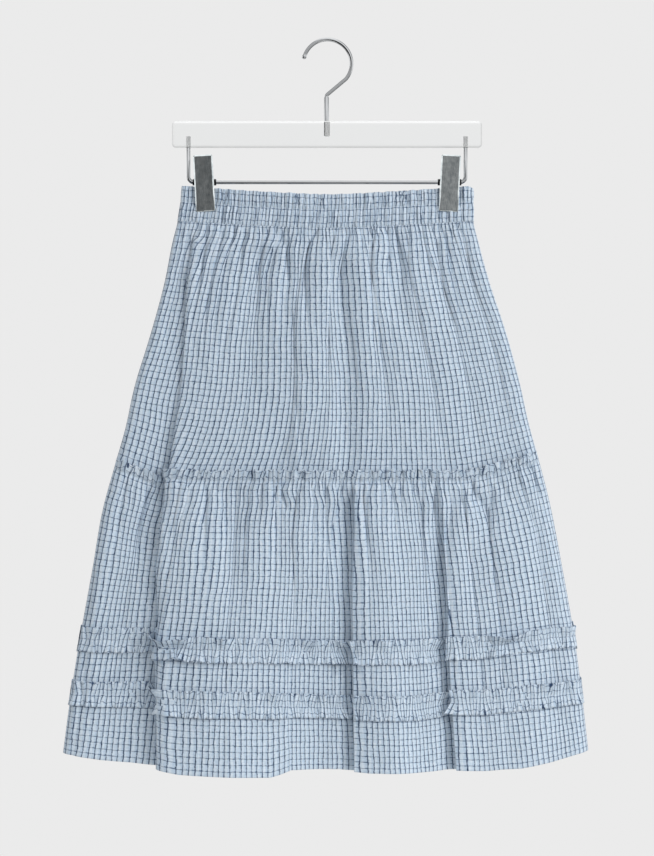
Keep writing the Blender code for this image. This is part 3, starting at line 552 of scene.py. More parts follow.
# what both tiers share
tier = {
    "columns": 600, "evenOver": 18,
    # height of the crumples, and how far down they are full
    "crumple": 0.5, "crumpleFull": 60.0, "fineCrumple": 0.22, "fineSize": (17.0, 40.0),
    # how far the check wanders from straight lines across the cut, and crowds together
    "warpWander": 0.4, "warpSize": (40.0, 50.0), "crowding": 1.6,
}
upper = {
    "rows": (32, 46), "closeRowsTo": 262.0, "rowGap": 2.5, "overlap": 0.6, "calmSide": 0.05, "rise": 1.6,
    "stops": (0.0, 0.22, 0.3, 0.45, 0.6, 1.0), "fullness": (0.9, 0.88, 0.9, 1.04, 1.05, 1.08),
    # the gathers' stages: wave on the cut, where it peaks, where it ends, height
    "stages": ((9.0, 4.0, 30.0, 2.6), (15.0, 12.0, 75.0, 3.6),
               (27.0, 30.0, 150.0, 4.6), (50.0, 60.0, 280.0, 4.8)),
    "crumpleSize": (46.0, 90.0), "weftWander": 0.2, "weftSize": (60.0, 70.0), "crowdingLength": 170.0,
}
# kind, width, depth, and (down, x) along each fold
upperFolds = (
    ("crease", 3.0, 2.8, ((206, -89), (300, -105), (381, -124))),
    ("crease", 2.6, 2.0, ((206, -71), (306, -75))),
    ("crease", 2.6, 2.4, ((206, -47), (280, -46))),
    ("crease", 2.8, 4.0, ((206, -9), (229, -21), (330, -20))),
    ("crease", 3.0, 4.4, ((206, 74), (235, 77), (290, 79))),
    ("crease", 2.4, 2.0, ((206, 67), (300, 67))),
    ("crease", 3.2, 2.4, ((215, 19), (320, 18))),
    ("crease", 3.0, 2.4, ((206, 122), (300, 131))),
    ("crease", 2.4, 1.8, ((206, 46), (262, 47))),
    ("crease", 2.6, 2.2, ((206, -112), (310, -133))),
    ("crease", 2.6, 2.2, ((206, -131), (300, -150))),
    ("crease", 3.0, 2.2, ((206, 104), (290, 110))),
    ("crease", 3.0, 2.0, ((206, 143), (320, 165))),
    ("trough", 42.0, 6.0, ((225, -42), (484, -42), (640, -42))),
    ("trough", 9.0, 2.2, ((235, 79), (340, 81))),
    ("trough", 11.0, 4.0, ((225, 17), (484, 24), (640, 24))),
    ("ridge", 14.0, 2.0, ((280, -30), (484, -27))),
    ("overLeft", 8.0, 1.8, ((300, 27), (390, 34))),
    ("overLeft", 8.0, 1.6, ((300, -41), (372, -28))),
    ("overRight", 8.0, 1.6, ((400, -33), (484, -27))),
)


def tierRelief(seed, front, base, downs, cut, fall, sizes, folds):
    # height and sideways lean of a tier's cloth
    relief, lean = gathered(seed, cut, np.maximum(fall, -sizes["overlap"]), sizes["stages"])
    if front:
        relief = relief + placedFolds(folds, base, downs)
    crumple = uneven(seed + 9, cut, fall, sizes["crumpleSize"]) * smooth(0.0, tier["crumpleFull"], fall)
    fine = uneven(seed + 13, cut, fall, tier["fineSize"])
    return relief + sizes["rise"] + tier["crumple"] * crumple + tier["fineCrumple"] * fine, lean


def tierPlaces(seed, points, cut, fall, sizes, top):  # each point's place on the tier's flat cut
    wander = tier["warpWander"] * uneven(seed + 10, cut, fall, tier["warpSize"])
    crowding = tier["crowding"] * drifting(seed + 12, cut, sizes["crowdingLength"])
    u = cutAcross(points, cut, tier["evenOver"]) + wander + crowding
    return u, top + fall + sizes["weftWander"] * uneven(seed + 11, cut, fall, sizes["weftSize"])


def upperTier(front):
    side, seed = ("front", 11) if front else ("back", 31)
    top, close = skirt["waistBottom"], upper["closeRowsTo"]
    downs = np.concatenate((spread(top - upper["overlap"], close, upper["rows"][0]),
                            spread(close + upper["rowGap"], skirt["tierSeam"], upper["rows"][1])))
    shares = np.linspace(0.0, 1.0, tier["columns"])
    base, normal, tangent, cut = laidOut(front, downs, shares, upper, skirt["upperCut"])
    fall = np.broadcast_to(downs[:, None] - top, cut.shape)
    relief, lean = tierRelief(seed, front, base, downs, cut, fall, upper, upperFolds)
    calm = sideCalm(shares, upper["calmSide"])
    points = moved(base, normal, relief * calm, tangent, lean * calm)
    u, v = tierPlaces(seed, points, cut, fall, upper, top)
    return clothSheet("upperTier_" + side, points, u, v, front, skirt["clothThickness"])


band = {
    "columns": 600, "rows": (17, 18), "rowGap": 1.2, "inside": 0.2,
    "calmSide": 0.012, "swayCalm": 0.05, "evenOver": 14,
    # the puffs above and below the middle row of stitching, and the waves that both share
    "pucker": 3.2, "pitches": (8.0, 8.6), "jitter": 0.7, "roundness": 0.65, "belly": 0.6, "topEdge": 0.55,
    "shared": 1.2, "sharedPitch": 13.0, "rise": 0.2,
    # how the puffs lean away from the stitching
    "lean": 2.4, "leanLengths": (19.0, 22.0), "pull": 1.6, "sway": 0.6,
    "scallop": 0.5, "scallopLength": 25.0, "corner": 6.0, "weftWander": 0.5, "weftLength": 24.0,
    "gripFlat": 11.5, "gripEnd": 17.0, "gripped": 0.8,
}


def waistband(front):
    # a casing in two channels: the rows of stitching pinch it, the cloth between them puffs out
    side, seed = ("front", 51) if front else ("back", 71)
    top, stitch, bottom = skirt["waistTop"], skirt["waistStitch"], skirt["waistBottom"]
    downs = np.concatenate((spread(top, stitch, band["rows"][0]),
                            spread(stitch + band["rowGap"], bottom - band["inside"], band["rows"][1])))
    shares = np.linspace(0.0, 1.0, band["columns"])
    base, normal, tangent, cut = laidOut(front, downs, shares, band, skirt["upperCut"])
    down = downs[:, None]
    inUpper = down < stitch + 0.5 * band["rowGap"]
    part = np.where(inUpper, (down - top) / (stitch - top), (down - stitch) / (bottom - stitch))
    belly = np.sin(np.pi * np.clip(part, 0.0, 1.0)) ** band["belly"]
    belly = np.where(inUpper & (part < 0.5), band["topEdge"] + (1.0 - band["topEdge"]) * belly, belly)
    leanAbove, leanBelow = [drifting(seed + 1 + i, cut, band["leanLengths"][i]) for i in (0, 1)]
    lean = band["lean"] * np.where(inUpper, leanAbove * (part - 1.0), leanBelow * part)
    pulled = cut + band["pull"] * lean
    waves = band["jitter"], band["roundness"]
    above, below = [gatherWaves(seed + 3 + i, pulled, band["pitches"][i], *waves)[0] for i in (0, 1)]
    shared = gatherWaves(seed + 5, cut, band["sharedPitch"])[0]
    fromClip = np.abs(np.abs(base[:, :, 0]) - skirt["clipX"])
    gripped = (1.0 - smooth(band["gripFlat"], band["gripEnd"], fromClip)) * (down < skirt["clipEnd"])
    relief = band["rise"] + band["pucker"] * np.where(inUpper, above, below) * belly + band["shared"] * shared
    relief = relief * (1.0 - band["gripped"] * gripped) * sideCalm(shares, band["calmSide"])
    sway = -band["sway"] * lean * (1.0 - gripped) * sideCalm(shares, band["swayCalm"])
    points = moved(base, normal, relief, tangent, sway)
    scallop = drifting(seed + 6, cut, band["scallopLength"])
    points[:, :, 2] += band["scallop"] * scallop * (1.0 - part) * inUpper
    corner = band["corner"]  # the upper corner at the right side seam is rounded off
    toEnd = np.clip(corner - (base[:, -1:, 0] - base[:, :, 0]), 0.0, corner)
    points[:, :, 2] -= (corner - np.sqrt(corner ** 2 - toEnd ** 2)) * (1.0 - part) ** 2 * inUpper
    for label, row in (("Middle", band["rows"][0] - 1), ("Bottom", -2)):
        sew("waistStitches%s_%s" % (label, side), points, normal, row, skirt["casingThickness"])
    u = cutAcross(points, cut, band["evenOver"])
    v = down + band["weftWander"] * drifting(seed + 7, cut, band["weftLength"])
    return clothSheet("waistCasing_" + side, points, u, v, front, skirt["casingThickness"])


lower = {
    # rows in the heading, below the seam and down to the hem, and how close together
    "rows": (8, 26, 40), "closeRows": (1.5, 62.0), "rowGap": 4.0, "overlap": 0.0,
    "calmSide": 0.04, "rise": 1.8,
    "stops": (0.0, 0.18, 0.25, 0.42, 0.46, 0.55, 0.565, 0.64, 0.68, 0.745, 0.76, 1.0),
    "fullness": (0.88, 0.86, 0.9, 0.97, 1.2, 1.26, 1.0, 1.0, 1.2, 1.26, 1.07, 1.1),
    "stages": ((10.0, 3.0, 28.0, 2.4), (17.0, 10.0, 70.0, 3.4),
               (33.0, 28.0, 160.0, 4.6), (64.0, 70.0, 340.0, 5.2)),
    "crumpleSize": (60.0, 120.0), "weftWander": 0.25, "weftSize": (70.0, 80.0), "crowdingLength": 190.0,
    "hemFold": 9.0, "hemRows": (0.8, 3.0, 5.0, 7.2, 9.0), "hemStep": 0.3,
    "hemGroove": 0.35, "grooveWidth": 0.9, "seamGroove": 1.2,
}
# the heading's waves, how each stretch tilts and sways, and how far its check slips across and down
heading = {
    "pitch": 9.5, "jitter": 0.5, "roundness": 0.7, "puff": (3.0, 1.6), "puffAtSeam": 0.35,
    "tilt": 16.0, "tiltUneven": 0.8, "tiltLength": 60.0, "sway": 2.6, "swayUneven": 0.8, "swayLength": 19.0,
    "ragged": 1.7, "raggedFine": 0.8, "slip": (2.6, 2.8), "slipLengths": (18.0, 13.0),
}
lowerFolds = (
    ("overLeft", 17.0, 11.0, ((484, 27), (600, 26), (700, 28), (845, 30))),
    ("overLeft", 15.0, 10.0, ((484, 121), (548, 127), (658, 129), (805, 142), (845, 143))),
    ("trough", 37.0, 10.0, ((500, -11), (860, -4))),
    ("trough", 25.0, 8.0, ((500, 90), (700, 99), (860, 114))),
    ("ridge", 42.0, 4.5, ((560, -188), (860, -188))),
    ("crease", 5.0, 4.0, ((590, -255), (636, -261), (725, -268), (805, -279))),
    ("overRight", 18.0, 2.6, ((640, -46), (805, -40))),
    ("crease", 4.8, 4.6, ((484, 157), (548, 179), (625, 192))),
    ("crease", 3.4, 2.4, ((484, 186), (530, 205))),
    ("crease", 5.0, 3.0, ((484, 222), (550, 248), (600, 258))),
    ("crease", 4.0, 2.4, ((484, -98), (570, -106))),
    ("crease", 3.4, 2.4, ((488, -68), (530, -76))),
    ("crease", 3.0, 2.6, ((488, -52), (524, -40))),
    ("crease", 3.0, 2.4, ((488, -27), (524, -37))),
    ("crease", 3.6, 2.4, ((484, -2), (575, 2))),
    ("crease", 3.0, 2.6, ((484, 13), (590, 18))),
    ("crease", 3.0, 2.4, ((484, 40), (560, 41))),
    ("crease", 3.4, 2.4, ((484, 70), (570, 72))),
    ("crease", 3.2, 2.2, ((484, 96), (560, 97))),
    ("crease", 3.2, 2.0, ((484, -132), (590, -138))),
    ("crease", 4.0, 2.2, ((484, -196), (620, -205))),
    ("trough", 13.0, 3.0, ((484, -186), (640, -197))),
    ("crease", 7.0, 1.8, ((732, 238), (780, 286))),
    ("crease", 7.0, 1.6, ((750, 240), (786, 287))),
    ("crease", 7.0, 1.4, ((715, 246), (772, 284))),
)


def lowerRelief(front, base, downs, cut, fall):
    return tierRelief(111 if front else 131, front, base, downs, cut, fall, lower, lowerFolds)


def tilted(attach, lift, normal, tangent, reach, half, tilt, sway):
    # a free edge: each stretch of it leans out from its row of stitching by its own angle
    out = half * reach ** 1.2 * np.sin(tilt)
    return moved(attach + lift * np.cos(tilt)[:, :, None], normal, out, tangent, sway)


def standHeading(seed, base, normal, tangent, points, cut, fall, calm):
    # the cloth above the seam stands as a small ragged frill; returns how far its check slips
    rim = lower["rows"][0]
    rows = slice(0, rim)
    cut, reach = cut[rows], np.maximum(-fall[rows], 0.0) / skirt["headingHeight"]
    waves = heading["jitter"], heading["roundness"]
    wave, swing = gatherWaves(seed, cut, heading["pitch"], *waves)[:2]
    fine = gatherWaves(seed + 1, cut, heading["pitch"] / 2.0, *waves)[0]
    puff = heading["puff"][0] * wave + heading["puff"][1] * fine
    puff = puff * (heading["puffAtSeam"] + (1.0 - heading["puffAtSeam"]) * reach) * calm
    sway = swing + heading["swayUneven"] * drifting(seed + 2, cut, heading["swayLength"])
    sway = heading["sway"] * sway * reach * calm
    tilt = 1.0 + heading["tiltUneven"] * drifting(seed + 4, cut, heading["tiltLength"])
    tilt = np.radians(heading["tilt"] * tilt) * calm
    points[rows] = tilted(points[rim][None], base[rows] - base[rim], normal[rows], tangent[rows],
                          reach, skirt["headingHeight"], tilt, sway)
    points[rows] += normal[rows] * puff[:, :, None]
    points[rim - 1:rim + 2] -= normal[rim - 1:rim + 2] * (lower["seamGroove"] * calm[0])[None, :, None]
    ragged = drifting(seed + 3, cut, heading["swayLength"]) + heading["raggedFine"] * fine
    points[rows, :, 2] += heading["ragged"] * ragged * reach * calm
    return [heading["slip"][i] * drifting(seed + 14 + i, cut, heading["slipLengths"][i]) * np.sqrt(reach)
            for i in (0, 1)]


def lowerTier(front):
    side, seed = ("front", 151) if front else ("back", 171)
    seam, hem, fold = skirt["tierSeam"], skirt["hem"], skirt["hem"] - lower["hemFold"]
    rim, close, wide = lower["rows"]
    first, last = lower["closeRows"]
    downs = np.concatenate((spread(seam - skirt["headingHeight"], seam, rim + 1),
                            spread(seam + first, seam + last, close),
                            spread(seam + last + lower["rowGap"], fold, wide),
                            fold + np.array(lower["hemRows"])))
    shares = np.linspace(0.0, 1.0, tier["columns"])
    base, normal, tangent, cut = laidOut(front, downs, shares, lower, skirt["lowerCut"])
    fall = np.broadcast_to(downs[:, None] - seam, cut.shape)
    relief, lean = lowerRelief(front, base, downs, cut, fall)
    toHem = hem - downs[:, None]
    relief = relief + lower["hemStep"] * (toHem < lower["hemFold"] - 0.1)
    relief = relief - lower["hemGroove"] * np.exp(-((toHem - lower["hemFold"]) / lower["grooveWidth"]) ** 2)
    calm = sideCalm(shares, lower["calmSide"])
    points = moved(base, normal, (skirt["lowerTierOut"] + relief) * calm, tangent, lean * calm)
    slipAcross, slipDown = standHeading(seed, base, normal, tangent, points, cut, fall, calm)
    for label, row in (("seam", rim), ("hem", -len(lower["hemRows"]))):
        sew(label + "Stitches_" + side, points, normal, row, skirt["clothThickness"])
    u, v = tierPlaces(seed, points, cut, fall, lower, seam)
    u[:rim] += slipAcross
    v[:rim] += slipDown
    return clothSheet("lowerTier_" + side, points, u, v, front, skirt["clothThickness"])


frill = {
    "columns": 1100, "rows": 8, "closer": (0.8, 1.25),
    "insetLeft": 0.012, "insetRight": 0.004, "sideCalm": 0.03,
    # waves, each with its jitter and roundness, and how far they stand out
    "pitch": 28.0, "wave": (0.5, 0.8), "finePitch": 7.0, "fineWave": (0.5, 0.7),
    "puff": (2.4, 2.6), "middle": 0.3, "puffLeast": 0.4, "broadLength": 210.0,
    "tilt": (0.5, 5.0), "ripple": 1.0, "rippleMiddle": 0.4,
    "sway": 2.0, "fineSway": 0.2, "lean": 1.8, "leanLength": 38.0,
    # how far it keeps from the tier, and how the stitching pinches it
    "out": 0.7, "clear": 0.15, "evenOver": 5, "tierEvenOver": 2,
    "pinch": 0.8, "pinchPitch": 7.0, "pinchLeft": 0.5,
    # how its check slips and bunches
    "shift": 4.2, "shiftLength": 42.0, "slip": 2.2, "slipLength": 17.0, "bunched": 0.35, "bunchedOver": 14,
    "cutHeight": 0.93, "weftWander": 0.4, "weftLength": 30.0,
    # x, then how tall ruffle 1 and ruffle 2 look there against their full height
    "tall": ((-290.0, 0.93, 0.97), (-180.0, 0.98, 1.0), (-60.0, 0.96, 0.98), (0.0, 0.9, 0.9),
             (110.0, 0.93, 0.97), (190.0, 0.84, 0.92), (280.0, 0.72, 0.96)),
}
# ruffle, half (-1 above the stitching, 1 below), x, reach along it, extra tilt in degrees, sideways sway
ruffleCurls = (
    (1, -1, -172.0, 9.0, 50.0, -5.0), (1, -1, -156.0, 8.0, 38.0, 5.0), (1, 1, -170.0, 9.0, 46.0, 6.0),
    (1, 1, -156.0, 7.0, 36.0, -5.0), (1, 1, -140.0, 7.0, 20.0, 4.0), (1, -1, -112.0, 6.0, 24.0, 3.0),
    (1, -1, -20.0, 9.0, 26.0, 4.0), (1, 1, -41.0, 7.0, 26.0, -4.0), (1, -1, 21.0, 7.0, 34.0, -5.0),
    (1, 1, 12.0, 9.0, 22.0, 4.0), (1, 1, 30.0, 7.0, 30.0, 5.0), (1, -1, 60.0, 8.0, 20.0, 3.0),
    (1, -1, 123.0, 7.0, 30.0, 4.0), (1, -1, 198.0, 16.0, 62.0, 0.0), (1, -1, 270.0, 8.0, 34.0, 3.0),
    (1, 1, 186.0, 9.0, 24.0, -3.0), (2, -1, -182.0, 8.0, 36.0, -4.0), (2, 1, -171.0, 7.0, 24.0, 4.0),
    (2, -1, -60.0, 6.0, 20.0, 4.0), (2, -1, 130.0, 6.0, 26.0, 4.0), (2, -1, 245.0, 12.0, 16.0, 3.0),
    (2, 1, 138.0, 7.0, 24.0, -4.0), (2, 1, 20.0, 8.0, 18.0, 4.0),
)


def ruffle(number, front):
    side, seed = ("front", 200 + 20 * number) if front else ("back", 207 + 20 * number)
    middle, half, mid = skirt["ruffle%d" % number], skirt["ruffleHalf"], frill["rows"] - 1
    across = np.concatenate((-spread(1.0, 0.0, frill["rows"], frill["closer"][0]),
                             spread(0.0, 1.0, frill["rows"], frill["closer"][1])[1:]))
    downs, reach = middle + half * across, np.abs(across)[:, None]
    start, end = (frill["insetLeft"], 1.0 - frill["insetRight"]) if front else (frill["insetRight"], 1.0)
    shares = np.linspace(start, end, frill["columns"])
    base, normal, tangent, cut = laidOut(front, downs, shares, lower, skirt["ruffleCut"], frill["evenOver"])
    tierCut = cut / skirt["ruffleCut"] * skirt["lowerCut"]
    under = lowerRelief(front, base, downs, tierCut, downs[:, None] - skirt["tierSeam"] + 0.0 * cut)[0]
    calm = sideCalm(shares, frill["sideCalm"])
    sizes = np.array(frill["tall"])
    tall = np.interp(base[mid, :, 0], sizes[:, 0], sizes[:, number]) if front else np.ones(len(shares))
    broad = 0.5 + 0.5 * drifting(seed + 9, cut, frill["broadLength"])
    pinch = frill["pinch"] * gatherWaves(seed + 8, cut, frill["pinchPitch"])[0]
    stand = frill["out"] + blurAlong(under[mid:mid + 1], frill["tierEvenOver"])[0] + pinch[mid]
    attach = base[mid] + normal[mid] * (skirt["lowerTierOut"] + stand * calm[0])[:, None]
    points, shift, slip = np.empty_like(base), np.zeros_like(cut), np.zeros_like(cut)
    for direction in (-1, 1):  # the half above the stitching, then the half below it
        rows = across * direction >= 0.0
        reached, along = reach[rows], cut[rows]
        wave, swing = gatherWaves(seed + direction, along, frill["pitch"], *frill["wave"])[:2]
        fine, fineSwing = gatherWaves(seed + 3 + direction, along, frill["finePitch"], *frill["fineWave"])[:2]
        degrees = frill["tilt"][0] + frill["tilt"][1] * broad[rows]
        sway = (frill["sway"] * (swing + frill["fineSway"] * fineSwing)
                + frill["lean"] * drifting(seed + 5 + direction, along, frill["leanLength"]))
        for which, onHalf, x, width, extra, push in ruffleCurls:
            if front and which == number and onHalf == direction:
                near = np.exp(-((base[rows][:, :, 0] - x) / width) ** 2)
                degrees, sway = degrees + extra * near, sway + push * near
        puff = (frill["puff"][0] * (wave - frill["middle"])
                * (frill["puffLeast"] + (1.0 - frill["puffLeast"]) * broad[rows])
                + frill["puff"][1] * (fine - frill["middle"]))
        puff = np.maximum(puff, 0.0) * reached
        over = (np.maximum(under[rows] - under[mid], 0.0) + frill["clear"]) * reached
        flatten = frill["pinchLeft"] * pinch[rows] * (reached - 1.0)
        body = tilted(attach[None], (base[rows] - base[mid]) * tall[:, None], normal[rows], tangent[rows],
                      reached, half, np.radians(degrees * calm), sway * reached * calm)
        points[rows] = body + normal[rows] * ((puff + over + flatten) * calm)[:, :, None]
        points[rows, :, 2] -= direction * frill["ripple"] * (fine - frill["rippleMiddle"]) * reached * calm
        shift[rows] = frill["shift"] * drifting(seed + 16 + direction, along, frill["shiftLength"]) * reached
        slip[rows] = frill["slip"] * drifting(seed + 18 + direction, along, frill["slipLength"]) * reached
    sew("ruffle%dStitches_%s" % (number, side), points, normal, mid, skirt["clothThickness"])
    u = cutAcross(points, cut, frill["bunchedOver"], frill["bunched"]) + shift
    v = middle + frill["cutHeight"] * half * across[:, None]
    v = v + frill["weftWander"] * drifting(seed + 14, cut, frill["weftLength"]) + slip
    return clothSheet("ruffle%d_%s" % (number, side), points, u, v, front, skirt["clothThickness"])


def hexColour(code):  # an sRGB hex code as linear red, green, blue and alpha
    channels = [int(code[i:i + 2], 16) / 255.0 for i in (1, 3, 5)]
    return tuple(c / 12.92 if c <= 0.04045 else ((c + 0.055) / 1.055) ** 2.4 for c in channels) + (1.0,)


def feed(tree, node, inputs):  # a socket is linked, any other value is set
    for key, value in inputs.items():
        if isinstance(value, bpy.types.NodeSocket):
            tree.links.new(value, node.inputs[key])
        else:
            node.inputs[key].default_value = value


def addNode(tree, kind, settings=None, inputs=None):
    node = tree.nodes.new("ShaderNode" + kind)
    for key, value in (settings or {}).items():
        setattr(node, key, value)
    feed(tree, node, inputs or {})
    return node


def newMaterial(name):  # the material, its tree and its shader
    material = bpy.data.materials.new(name)
    material.use_nodes = True
    return material, material.node_tree, material.node_tree.nodes["Principled BSDF"]


def objectPlace(tree):
    return addNode(tree, "TexCoord").outputs["Object"]


def blend(tree, share, first, second):  # colour between two, hex codes or sockets
    ends = [hexColour(end) if isinstance(end, str) else end for end in (first, second)]
    return addNode(tree, "Mix", {"data_type": "RGBA"}, {0: share, 6: ends[0], 7: ends[1]}).outputs[2]


def noise(tree, place, scale, detail=2.0, stretch=None, flat=False):
    if stretch:
        place = addNode(tree, "Mapping", {}, {"Vector": place, "Scale": stretch}).outputs[0]
    kind = {"noise_dimensions": "2D"} if flat else {}
    return addNode(tree, "TexNoise", kind, {"Vector": place, "Scale": scale, "Detail": detail}).outputs[0]


def ranged(tree, value, start, end, low, high, soft=False):
    kind = {"interpolation_type": "SMOOTHSTEP"} if soft else {}
    return addNode(tree, "MapRange", kind, {0: value, 1: start, 2: end, 3: low, 4: high}).outputs[0]


def maths(tree, operation, *values):
    return addNode(tree, "Math", {"operation": operation}, dict(enumerate(values))).outputs[0]


def bumped(tree, height, distance, strength):  # a normal for the shader
    inputs = {"Height": height, "Distance": distance, "Strength": strength}
    return addNode(tree, "Bump", {}, inputs).outputs[0]


cotton = {
    "ground": "#bfd0e0", "pale": "#d8e2ec", "flank": "#a3bbd3", "warpLine": "#2a3f5e", "weftLine": "#405878",
    # the check's pitches and widths in mm, and how strongly each line colours the cloth
    "warpPitch": 6.3, "weftPitch": 6.8, "warpWidth": 1.2, "weftWidth": 1.0, "edge": 0.35,
    "flankWidth": 3.2, "flankAside": 1.0, "flankEdge": 0.6,
    "warpShare": 0.92, "weftShare": 0.45, "flankShare": 0.5, "crossed": 0.38,
    # how the lines wander, thicken and fade, and the slubs' length and thickness in mm
    "wander": 1.0, "wanderScale": 150.0, "thicken": (0.72, 1.35), "thickenScale": 420.0,
    "slub": (9.0, 0.9), "warpSlub": (0.62, 1.18), "weftSlub": (0.45, 1.55),
    # the weave itself, drawn coarser than it is so that it shows close up, and small crumples
    "yarn": 0.55, "weave": 0.12, "crumpleScale": 110.0, "bump": (0.0008, 0.6),
}


def checkedCotton(name):
    # yarn-dyed plain-woven cotton: matt, with a fine dark-blue check woven in and slightly uneven yarns
    material, tree, shader = newMaterial(name)
    cut = addNode(tree, "UVMap", {"uv_map": "cut"}).outputs[0]
    place = addNode(tree, "SeparateXYZ", {}, {0: cut}).outputs
    wander = maths(tree, "MULTIPLY_ADD", noise(tree, cut, cotton["wanderScale"], 1.0, flat=True),
                   cotton["wander"] * mm, -0.5 * cotton["wander"] * mm)
    thicken = noise(tree, cut, cotton["thickenScale"], 2.0, flat=True)
    thicken = ranged(tree, thicken, 0.3, 0.7, *cotton["thicken"])

    def line(axis, pitch, width, softness, aside=0.0):  # 1 on a line of the check, 0 beside it
        turns = maths(tree, "ADD", maths(tree, "ADD", place[axis], wander), aside * mm)
        turns = maths(tree, "DIVIDE", turns, pitch * mm)
        away = maths(tree, "ABSOLUTE", maths(tree, "SUBTRACT", maths(tree, "FRACT", turns), 0.5))
        away = maths(tree, "MULTIPLY", away, thicken)
        half = width / pitch / 2.0
        return ranged(tree, away, half * (1.0 - softness), half * (1.0 + softness), 1.0, 0.0, soft=True)

    def slub(yarns, share, levels):
        return ranged(tree, yarns, 0.32, 0.68, *[level * share for level in levels])

    def yarn(axis):
        turns = maths(tree, "MULTIPLY", place[axis], 2.0 * math.pi / (cotton["yarn"] * mm))
        return maths(tree, "SINE", turns)

    length, thickness = [1000.0 / size for size in cotton["slub"]]
    across = noise(tree, cut, 1.0, 1.0, (thickness, length, 1.0), flat=True)
    along = noise(tree, cut, 1.0, 1.0, (length, thickness, 1.0), flat=True)
    tone = ranged(tree, maths(tree, "ADD", across, along), 0.7, 1.3, 0.0, 1.0)
    flank = line("X", cotton["warpPitch"], cotton["flankWidth"], cotton["flankEdge"], cotton["flankAside"])
    colour = blend(tree, maths(tree, "MULTIPLY", flank, cotton["flankShare"]),
                   blend(tree, tone, cotton["ground"], cotton["pale"]), cotton["flank"])
    weft = line("Y", cotton["weftPitch"], cotton["weftWidth"], cotton["edge"])
    # the weft lines are deepest where dyed yarn crosses dyed yarn
    weftDepth = maths(tree, "MULTIPLY_ADD", flank, cotton["crossed"],
                      slub(along, cotton["weftShare"], cotton["weftSlub"]))
    colour = blend(tree, maths(tree, "MULTIPLY", weft, weftDepth), colour, cotton["weftLine"])
    warp = line("X", cotton["warpPitch"], cotton["warpWidth"], cotton["edge"])
    warpDepth = slub(across, cotton["warpShare"], cotton["warpSlub"])
    colour = blend(tree, maths(tree, "MULTIPLY", warp, warpDepth), colour, cotton["warpLine"])
    weave = maths(tree, "MULTIPLY", yarn("X"), yarn("Y"))
    rough = noise(tree, cut, cotton["crumpleScale"], 3.0, flat=True)
    rough = maths(tree, "MULTIPLY_ADD", weave, cotton["weave"], rough)
    feed(tree, shader, {
        "Base Color": colour, "Normal": bumped(tree, rough, *cotton["bump"]), "Roughness": 0.86,
        "Specular IOR Level": 0.3, "Sheen Weight": 0.12, "Sheen Roughness": 0.5})
    return material


def sewingThread(name):
    # spun polyester sewing thread: pale blue, a little brighter than the cloth, with a fine twist
    material, tree, shader = newMaterial(name)
    twist = noise(tree, objectPlace(tree), 2400.0, 2.0)
    feed(tree, shader, {
        "Base Color": blend(tree, twist, "#b9cbdc", "#e3ebf3"), "Normal": bumped(tree, twist, 0.0001, 0.5),
        "Roughness": 0.62})
    return material


def chromedSteel(name, roughness=0.09):
    # bright chrome over polished steel: mirror-like, with faint hair scratches
    material, tree, shader = newMaterial(name)
    hair = noise(tree, objectPlace(tree), 1.0, 3.0, (1400.0, 1400.0, 160.0))
    tint = blend(tree, ranged(tree, hair, 0.3, 0.8, 0.0, 0.2), "#d2d4d6", "#9fa4a8")
    dull = ranged(tree, hair, 0.35, 0.75, roughness * 0.8, roughness * 1.4)
    feed(tree, shader, {"Base Color": tint, "Roughness": dull, "Metallic": 1.0})
    return material


def clearAcrylic(name, clear=1.0, rough=0.0):
    # cast acrylic, flame-polished outside and left matt where it is drilled: water-clear, with bright edges
    material, tree, shader = newMaterial(name)
    haze = noise(tree, objectPlace(tree), 60.0, 3.0)
    feed(tree, shader, {
        "Base Color": hexColour("#fdfefe"), "Roughness": ranged(tree, haze, 0.35, 0.75, rough, rough + 0.04),
        "Transmission Weight": clear, "IOR": 1.49})
    return material


def pressedSteel(name):
    # thin chromed pressings, dulled by handling: cloudy, with fine rubs down their length
    material, tree, shader = newMaterial(name)
    place = objectPlace(tree)
    rubs = noise(tree, place, 1.0, 3.0, (1500.0, 1500.0, 140.0))
    both = maths(tree, "MULTIPLY", rubs, noise(tree, place, 190.0, 4.0))
    tint = blend(tree, ranged(tree, both, 0.14, 0.4, 0.0, 1.0), "#d2d7d8", "#a2aaad")
    dents = noise(tree, place, 55.0, 2.0)
    feed(tree, shader, {
        "Base Color": tint, "Roughness": ranged(tree, both, 0.12, 0.42, 0.08, 0.2),
        "Normal": bumped(tree, dents, 0.001, 0.15), "Metallic": 1.0})
    return material


def blackSteel(name):
    # oil-blackened spring steel: dark, half-gloss
    material, tree, shader = newMaterial(name)
    tint = blend(tree, noise(tree, objectPlace(tree), 900.0, 2.0), "#17181a", "#2c2e31")
    feed(tree, shader, {"Base Color": tint, "Metallic": 0.8, "Roughness": 0.42})
    return material


def finish(piece, material, nodes=()):
    piece.data.materials.clear()
    piece.data.materials.append(material)
    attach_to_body(piece, "root")
    if nodes:
        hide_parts(*nodes)
    return piece


cottonCheck = checkedCotton("yarn-dyed checked cotton")
for front in (True, False):
    side = "front" if front else "back"
    piece = finish(waistband(front), cottonCheck, ["waistband_" + side])
    piece = finish(upperTier(front), cottonCheck, ["upper_tier_" + side])
    piece = finish(lowerTier(front), cottonCheck, ["lower_tier_" + side])
    for number in (1, 2):
        piece = finish(ruffle(number, front), cottonCheck, ["ruffle_%d_%s" % (number, side)])
    print("cloth, " + side)
stitch = oneStitch()
yarn = sewingThread("spun polyester sewing thread")
for name, line, normals in sewn:
    finish(stitchRow(name, stitch, line, normals), yarn)
bpy.data.objects.remove(stitch)
print("stitching")


